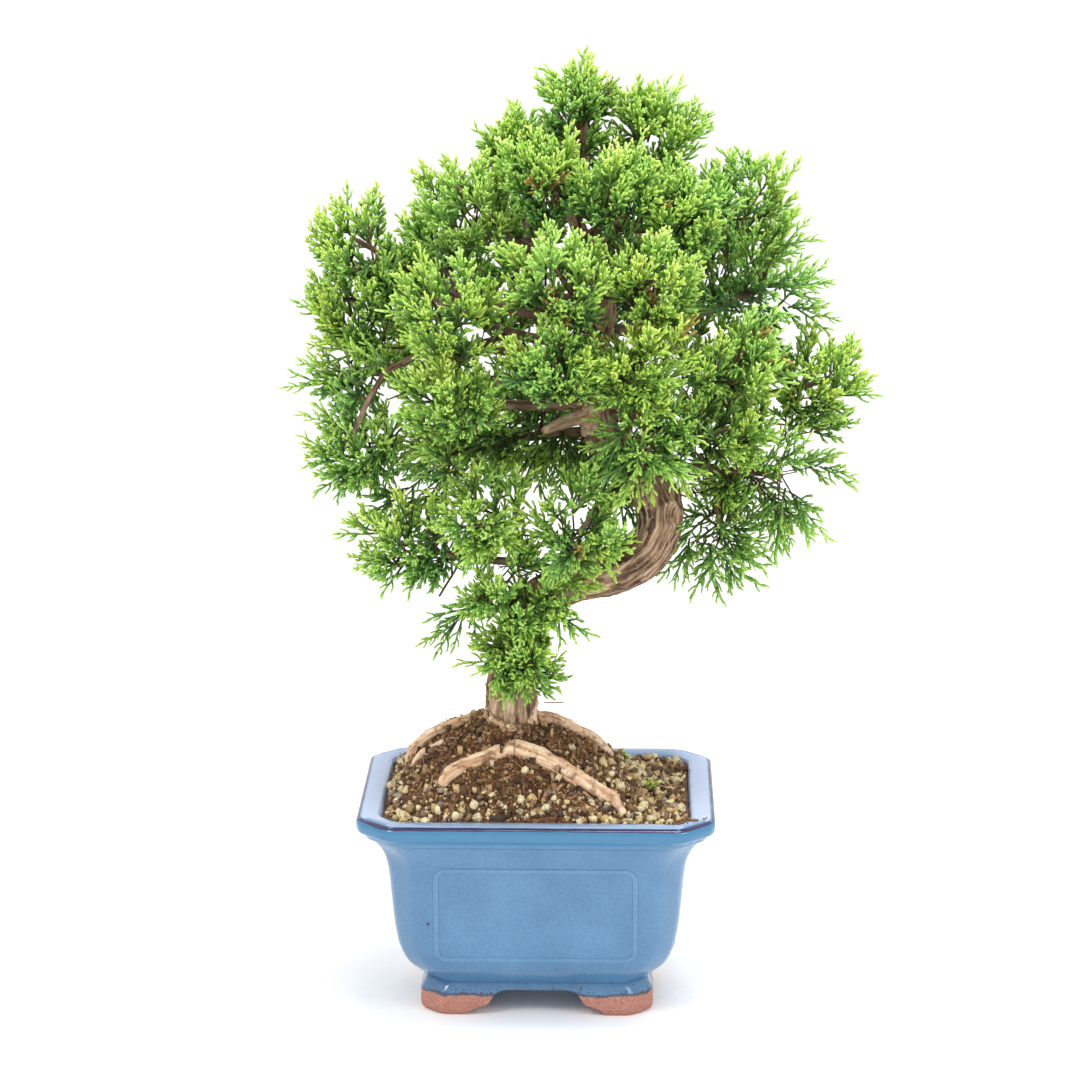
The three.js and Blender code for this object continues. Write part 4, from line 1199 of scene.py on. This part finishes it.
def sprig(name, length, bend, radius, fingers, forks, longest, shortest, opening, first, last):
    """A leafy shoot: a curved stem, fingers that leave it at the opening angle and curve up beside it,
    and short tips that fork off the first of them."""
    piece = empty_piece(name)
    upright = Vector((0, 0, 1))

    def stem_at(share):
        return Vector((bend * share * share, 0, length * share))

    shoot(piece, [stem_at(share) for share in (0, 0.36, 0.7, 0.93, 1.0)], radius, 0.1, 0.85)
    for i in range(fingers):
        share = i / (fingers - 1)
        foot = first + (last - first) * share
        reach = longest + (shortest - longest) * share
        around = GOLDEN_ANGLE * i
        out = Vector((math.cos(around), math.sin(around), 0))
        angle = math.radians(opening * (1 - 0.3 * share))
        knee = stem_at(foot) + (out * math.sin(angle) + upright * math.cos(angle)) * reach * 0.45
        tip = knee + (out * math.sin(0.45 * angle) + upright * math.cos(0.45 * angle)) * reach * 0.55
        if reach > SHORT_FINGER:
            line = [stem_at(foot), knee, knee.lerp(tip, 0.78), tip]
        else:
            line = [stem_at(foot), knee.lerp(tip, 0.6), tip]
        shoot(piece, line, radius * 0.95, 0.15 + 0.3 * foot, 0.7 + 0.2 * foot)
        if i < forks:
            aside = upright.cross(out) * (1 if i % 2 else -1)
            own = (aside * 0.6 + out * 0.35 + upright * 0.75).normalized() * reach * 0.48
            shoot(piece, [knee, knee + own * 0.75, knee + own], radius * 0.88, 0.35, 0.85)
    return drawn(piece)


def bare_twig():
    """A fine crooked twig one millimetre long, to be drawn out to its length."""
    piece = empty_piece("bare_twig")
    line = [Vector(place) for place in ((0, 0, 0), (0.35, 0, 0.3), (0.4, 0.2, 0.65), (0, 0, 1))]
    shoot(piece, line, 1, 0, 0)
    return drawn(piece, 1)


def dead_twig(name, length, forks):
    """A dry twig with bare side twigs."""
    piece = empty_piece(name)
    line = [Vector((0, 0, 0)), Vector((0.8, 0, 0.4 * length)), Vector((0.2, 0.9, 0.75 * length)),
            Vector((1.2, 0.4, length))]
    shoot(piece, line, 0.34, 0, 0)
    for i in range(forks):
        foot = line[0].lerp(line[3], 0.25 + 0.6 * i / forks)
        around = GOLDEN_ANGLE * i
        out = Vector((math.cos(around), math.sin(around), 0.9)) * length * (0.3 - 0.12 * i / forks)
        shoot(piece, [foot, foot + out * 0.5 + Vector((0, 0, 0.3)), foot + out], 0.22, 0, 0)
    return drawn(piece, 0)


def sprig_shapes():
    return [
        sprig("coral_tip", 14, 1.4, 0.66, 7, 3, 6.4, 3.4, 50, 0.2, 0.86),
        sprig("coral_fork", 12, -1.1, 0.66, 6, 3, 5.4, 3.0, 46, 0.22, 0.88),
        sprig("long_shoot", 20, 3.0, 0.6, 6, 2, 8.2, 4.6, 52, 0.22, 0.86),
        sprig("short_tuft", 9, 0.6, 0.7, 5, 0, 4.2, 2.8, 42, 0.25, 0.85),
        bare_twig(),
    ]


SHORT_TUFT = 3
TWIG = 4


def even_directions(count, draw):
    """Directions spread evenly over a ball, turned as one and a little shaken."""
    turn = random_turn(draw)
    made = []
    for i in range(count):
        z = 1 - 2 * (i + 0.5) / count
        flat = math.sqrt(1 - z * z)
        heading = turn @ Vector((flat * math.cos(GOLDEN_ANGLE * i), flat * math.sin(GOLDEN_ANGLE * i), z))
        made.append((heading + shaken(draw, 0.14)).normalized())
    return made


def aim(heading, roll):
    """The turn that points a shape's length along heading, rolled about it."""
    return heading.to_track_quat("Z", "Y").to_matrix() @ Matrix.Rotation(roll, 3, "Z")


class Shoots:
    """Where the copies of one piece of foliage go, and how each is coloured."""

    def __init__(self, draw):
        self.draw = draw
        self.places, self.tones, self.deads = [], [], []

    def place(self, which, matrix, move, tone, dead):
        self.places.append((which, matrix, move))
        self.tones.append(tone)
        self.deads.append(dead)

    def spray(self, start, heading, length, count, airy, lift, tone):
        """A twig with sprigs that spiral up it, opening wide at the bottom and closing to a point."""
        draw = self.draw
        turned = aim(heading, draw.uniform(0, FULL_TURN))
        dying = draw.random() < 0.015
        for i in range(count):
            share = (i + 0.5) / count
            opening = math.radians((58 if airy else 62) - (44 if airy else 52) * share ** 0.8)
            around = GOLDEN_ANGLE * i + draw.uniform(-0.4, 0.4)
            side = turned @ Vector((math.cos(around), math.sin(around), 0))
            own = heading * math.cos(opening) + side * math.sin(opening) + Vector((0, 0, lift))
            own.normalize()
            odds = (0.1, 0.2, 0.66, 0.04) if airy else (0.42, 0.33, 0.12, 0.13)
            which = draw.choices(range(4), odds)[0]
            stretch = draw.uniform(0.84, 1.1) * (1.06 - 0.18 * share)
            foot = start + heading * (length * ((0.3 + 0.6 * share) if airy else (0.1 + 0.46 * share)))
            shade = tone + draw.uniform(-0.07, 0.07) + 0.24 * (share - 0.6)
            dead = 0.85 if dying and share < 0.35 or draw.random() < 0.005 else 0.0
            self.place(which, aim(own, draw.uniform(0, FULL_TURN)) * stretch, at(*foot), shade, dead)

    def twig(self, start, end):
        thick = self.draw.uniform(0.32, 0.5)
        reach = end - start
        drawn_out = Matrix.Diagonal((thick * 1.2, thick * 1.2, reach.length))
        turned = aim(reach.normalized(), self.draw.uniform(0, FULL_TURN))
        self.place(TWIG, turned @ drawn_out, at(*start), 0, 0)

    def made(self, name, shapes, materials):
        return copies(name, shapes, self.places, {"tone": self.tones, "dead": self.deads}, materials)


def foliage_pad(row, bough, shapes, materials, draw):
    """One pad: sprays that fan out from its middle. Airy pads have fewer and longer sprigs, on twigs
    that show."""
    name, middle, size, _, extra = row
    airy = extra == "airy"
    centre = Vector(middle)
    outward = centre - CROWN_CENTRE
    outward = (outward / max(outward.length, 40)).normalized()
    up = Vector((0, 0, 1))
    lift = (0.06 if airy else 0.3) * (1 if centre.z > 270 else 0.4)
    pad = Shoots(draw)
    pad_tone = draw.uniform(-0.05, 0.05)
    for way in even_directions(11 if airy else 16, draw):
        facing = way.dot(outward)
        span = Vector((way.x * size[0], way.y * size[1], way.z * size[2]))
        reach = draw.uniform(0.78, 1.02) * (1.15 - 0.19 * facing)
        heading = way * 0.7 + outward * 0.4 + up * (0.08 if airy else 0.45)
        if airy and way.z < 0:
            heading += up * 0.5 * way.z
        heading = (heading + shaken(draw, 0.14)).normalized()
        length = span.length * 0.8 + 6
        start = centre + span * reach - heading * length
        # Painted light and shade: sprays on a pad's top and outer side get a lighter tone, those underneath
        # and inward a darker one
        tone = pad_tone + draw.uniform(-0.06, 0.06) + 0.15 * way.z + 0.06 * facing
        pad.spray(start, heading, length, 7 if airy or facing > -0.4 else 6, airy, lift, tone)
        pad.twig(centre.lerp(start, 0.3) if airy else start, start + heading * (length * 0.65))
    # Side sprays along the bough
    stations = smooth_line(bough, 12)
    for station in (5, 7, 9):
        foot = Vector(stations[station][0])
        heading = shaken(draw, 0.5) + outward * 0.5 + up * 0.35
        heading.normalize()
        pad.spray(foot, heading, 13, 5, False, lift, pad_tone - 0.12)
        pad.twig(foot, foot + heading * 8)
    return pad.made("shoots_" + name, shapes, materials)


# Loose sprays in the shade beside the trunk: where each leaves its branch and where it ends
INNER_SPRAYS = [
    ((16, -4, 264), (3, -9, 243)), ((22, 0, 260), (13, -10, 238)), ((4, -10, 266), (-8, -12, 247)),
    ((-6, -4, 264), (-18, -6, 244)), ((30, 0, 256), (23, -8, 236)), ((-16, 4, 264), (-26, 0, 245)),
    ((10, 10, 264), (0, 14, 240)), ((24, 10, 262), (14, 16, 240)), ((-8, 14, 264), (-14, 16, 243)),
    ((2, 2, 262), (-4, 0, 236)), ((18, 12, 258), (26, 10, 236)), ((8, -2, 262), (14, 0, 244)),
    ((-40, -20, 240), (-52, -22, 222)), ((-48, -10, 238), (-66, -10, 224)),
    ((-36, -30, 226), (-48, -34, 204)),
    ((-56, -8, 262), (-70, -6, 244)), ((-30, -34, 240), (-40, -40, 256)), ((70, 0, 262), (88, 4, 244)),
    ((80, 4, 250), (100, 6, 228)), ((92, -2, 236), (110, -2, 216)), ((26, -8, 300), (22, -36, 312)),
    ((22, -8, 318), (28, -38, 328)), ((30, -10, 285), (24, -38, 282)), ((-60, 0, 300), (-66, -8, 322)),
    ((40, -12, 260), (33, -16, 236)), ((30, -4, 250), (38, -12, 224)), ((-22, -36, 192), (-38, -38, 176)),
]


def inner_sprays(shapes, materials, draw):
    sprays = Shoots(draw)
    for start, end in INNER_SPRAYS:
        start, end = Vector(start), Vector(end)
        way = end - start
        sprays.twig(start, start.lerp(end, 0.8))
        # Their tone is lowered by 0.16: painted shade
        sprays.spray(start, way.normalized(), way.length, 8, True, -0.05, -0.16)
    return sprays.made("inner_shoots", shapes, materials)


def dead_twigs(material, draw):
    """Dry bare twigs that stay on the boughs inside the crown, where no light reaches."""
    shapes = [dead_twig("dry_twig", 15, 4), dead_twig("dry_fork", 11, 5)]
    places = []
    for line, _ in branch_lines():
        start, end = Vector(line[0]), Vector(line[-1])
        for _ in range(4):
            foot = Vector(smooth_line(line, 12)[draw.randrange(1, 8)][0])
            heading = (end - start).normalized() + shaken(draw, 0.7)
            size = draw.uniform(0.7, 1.35)
            which = draw.randrange(2)
            turned = aim(heading.normalized(), draw.uniform(0, FULL_TURN))
            places.append((which, turned * size, at(*foot)))
    return copies("dry_twigs", shapes, places, {"tone": [0.0] * len(places)}, [material])


def bark_slips(material, draw):
    """Slips of old bark that peel off the trunk."""
    shapes = grain_shapes((1.7, 0.35, 6), (21, 22, 23), 1)
    stations = smooth_line(TRUNK_LINE, 60)
    places, tones = [], []
    for _ in range(150):
        number = draw.randrange(3, 30)
        middle, share = stations[number]
        way = (stations[number + 1][0] - stations[number - 1][0]).normalized()
        out = way.cross(shaken(draw, 1)).normalized()
        lying = (way + out * draw.uniform(0, 0.6)).normalized()
        across = out.cross(lying).normalized()
        matrix = Matrix((across, lying.cross(across), lying)).transposed() * draw.uniform(0.4, 1.1)
        reach = along_list(TRUNK_RADII, share) * draw.uniform(0.94, 1.04)
        places.append((draw.randrange(3), matrix, at(*(middle + out * reach))))
        tones.append(draw.random())
    return copies("bark_slips", shapes, places, {"tone": tones}, [material])


def green_blades(shapes, material, draw):
    """Two seedlings that came up in the grit."""
    blades = Shoots(draw)
    for x, y, lean in ((47, -8, 0.5), (40, 20, -0.4), (49, -5, 0.9)):
        turned = aim(Vector((lean, -0.2, 1)).normalized(), 1.0)
        blades.place(SHORT_TUFT, turned * 0.7, at(x, y, soil_height(x, y)), 0.05, 0)
    return blades.made("green_blades", shapes, material)


# Build
pot = make_pot()
pot.data.materials.append(glazed_stoneware())
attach(pot, "root")
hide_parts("pot")

soil_pieces = make_soil()
for piece in soil_pieces:
    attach(piece, "root")
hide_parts("soil")

wood = make_wood()
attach(wood, "root")
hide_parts("trunk_roots_and_branches")

leaf_materials = [scale_leaves(), twig_bark()]
shoots = sprig_shapes()
for number, (row, (bough, _)) in enumerate(zip(PADS, branch_lines())):
    pad = foliage_pad(row, bough, shoots, leaf_materials, random.Random(100 + number))
    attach(pad, "root")
    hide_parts("foliage_" + row[0])

peeling = mineral("peeling_bark", [(0.0, "#35251A"), (0.5, "#7B5C47"), (1.0, "#C2A286")], 1.3)
for piece, slot in (
        (inner_sprays(shoots, leaf_materials, random.Random(61)), "foliage_green"),
        (green_blades(shoots, leaf_materials, random.Random(64)), "foliage_green"),
        (dead_twigs(leaf_materials[1], random.Random(62)), "bark"),
        (bark_slips(peeling, random.Random(63)), "bark")):
    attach(piece, "root")

plastic = drain_plastic()
for side in ("left", "right"):
    sheet = bpy.data.objects["drain_mesh_" + side]
    sheet.data.materials.clear()
    sheet.data.materials.append(plastic)

# Stage
nothing_selected()
bpy.ops.mesh.primitive_plane_add(size=24, location=(0, 0, 0))
floor = bpy.context.object
floor.name = "studio_floor"
floor.data.materials.append(pale_floor())

world = bpy.data.worlds.new("studio")
world.use_nodes = True
world.node_tree.nodes["Background"].inputs["Color"].default_value = (1, 1, 1, 1)
world.node_tree.nodes["Background"].inputs["Strength"].default_value = 1.04
bpy.context.scene.world = world


def soft_light(name, place, target, size, watts):
    light = bpy.data.lights.new(name, "AREA")
    light.energy = watts
    light.size = size
    lamp = bpy.data.objects.new(name, light)
    bpy.context.scene.collection.objects.link(lamp)
    lamp.location = place
    lamp.rotation_euler = (Vector(target) - Vector(place)).to_track_quat("-Z", "Y").to_euler()


# Places and sizes in metres, then the watts
soft_light("key_light", (-0.9, -1.0, 1.5), (0, 0, 0.25), 0.5, 9)
soft_light("fill_light", (1.1, -0.9, 1.1), (0, 0, 0.2), 0.6, 5)
soft_light("top_light", (0.25, -0.1, 1.7), (0, 0, 0.3), 0.7, 18)

camera_data = bpy.data.cameras.new("camera")
camera_data.lens = CAMERA_LENS
camera_data.sensor_width = 36
camera = bpy.data.objects.new("camera", camera_data)
bpy.context.scene.collection.objects.link(camera)
round_turn = math.radians(CAMERA_TURN)
camera.location = at(CAMERA_AWAY * math.sin(round_turn), -CAMERA_AWAY * math.cos(round_turn), CAMERA_HEIGHT)
camera.rotation_euler = (math.radians(90 - CAMERA_TILT), 0, math.radians(CAMERA_TURN + CAMERA_AIM))
bpy.context.scene.camera = camera
bpy.context.scene.view_settings.view_transform = "Standard"
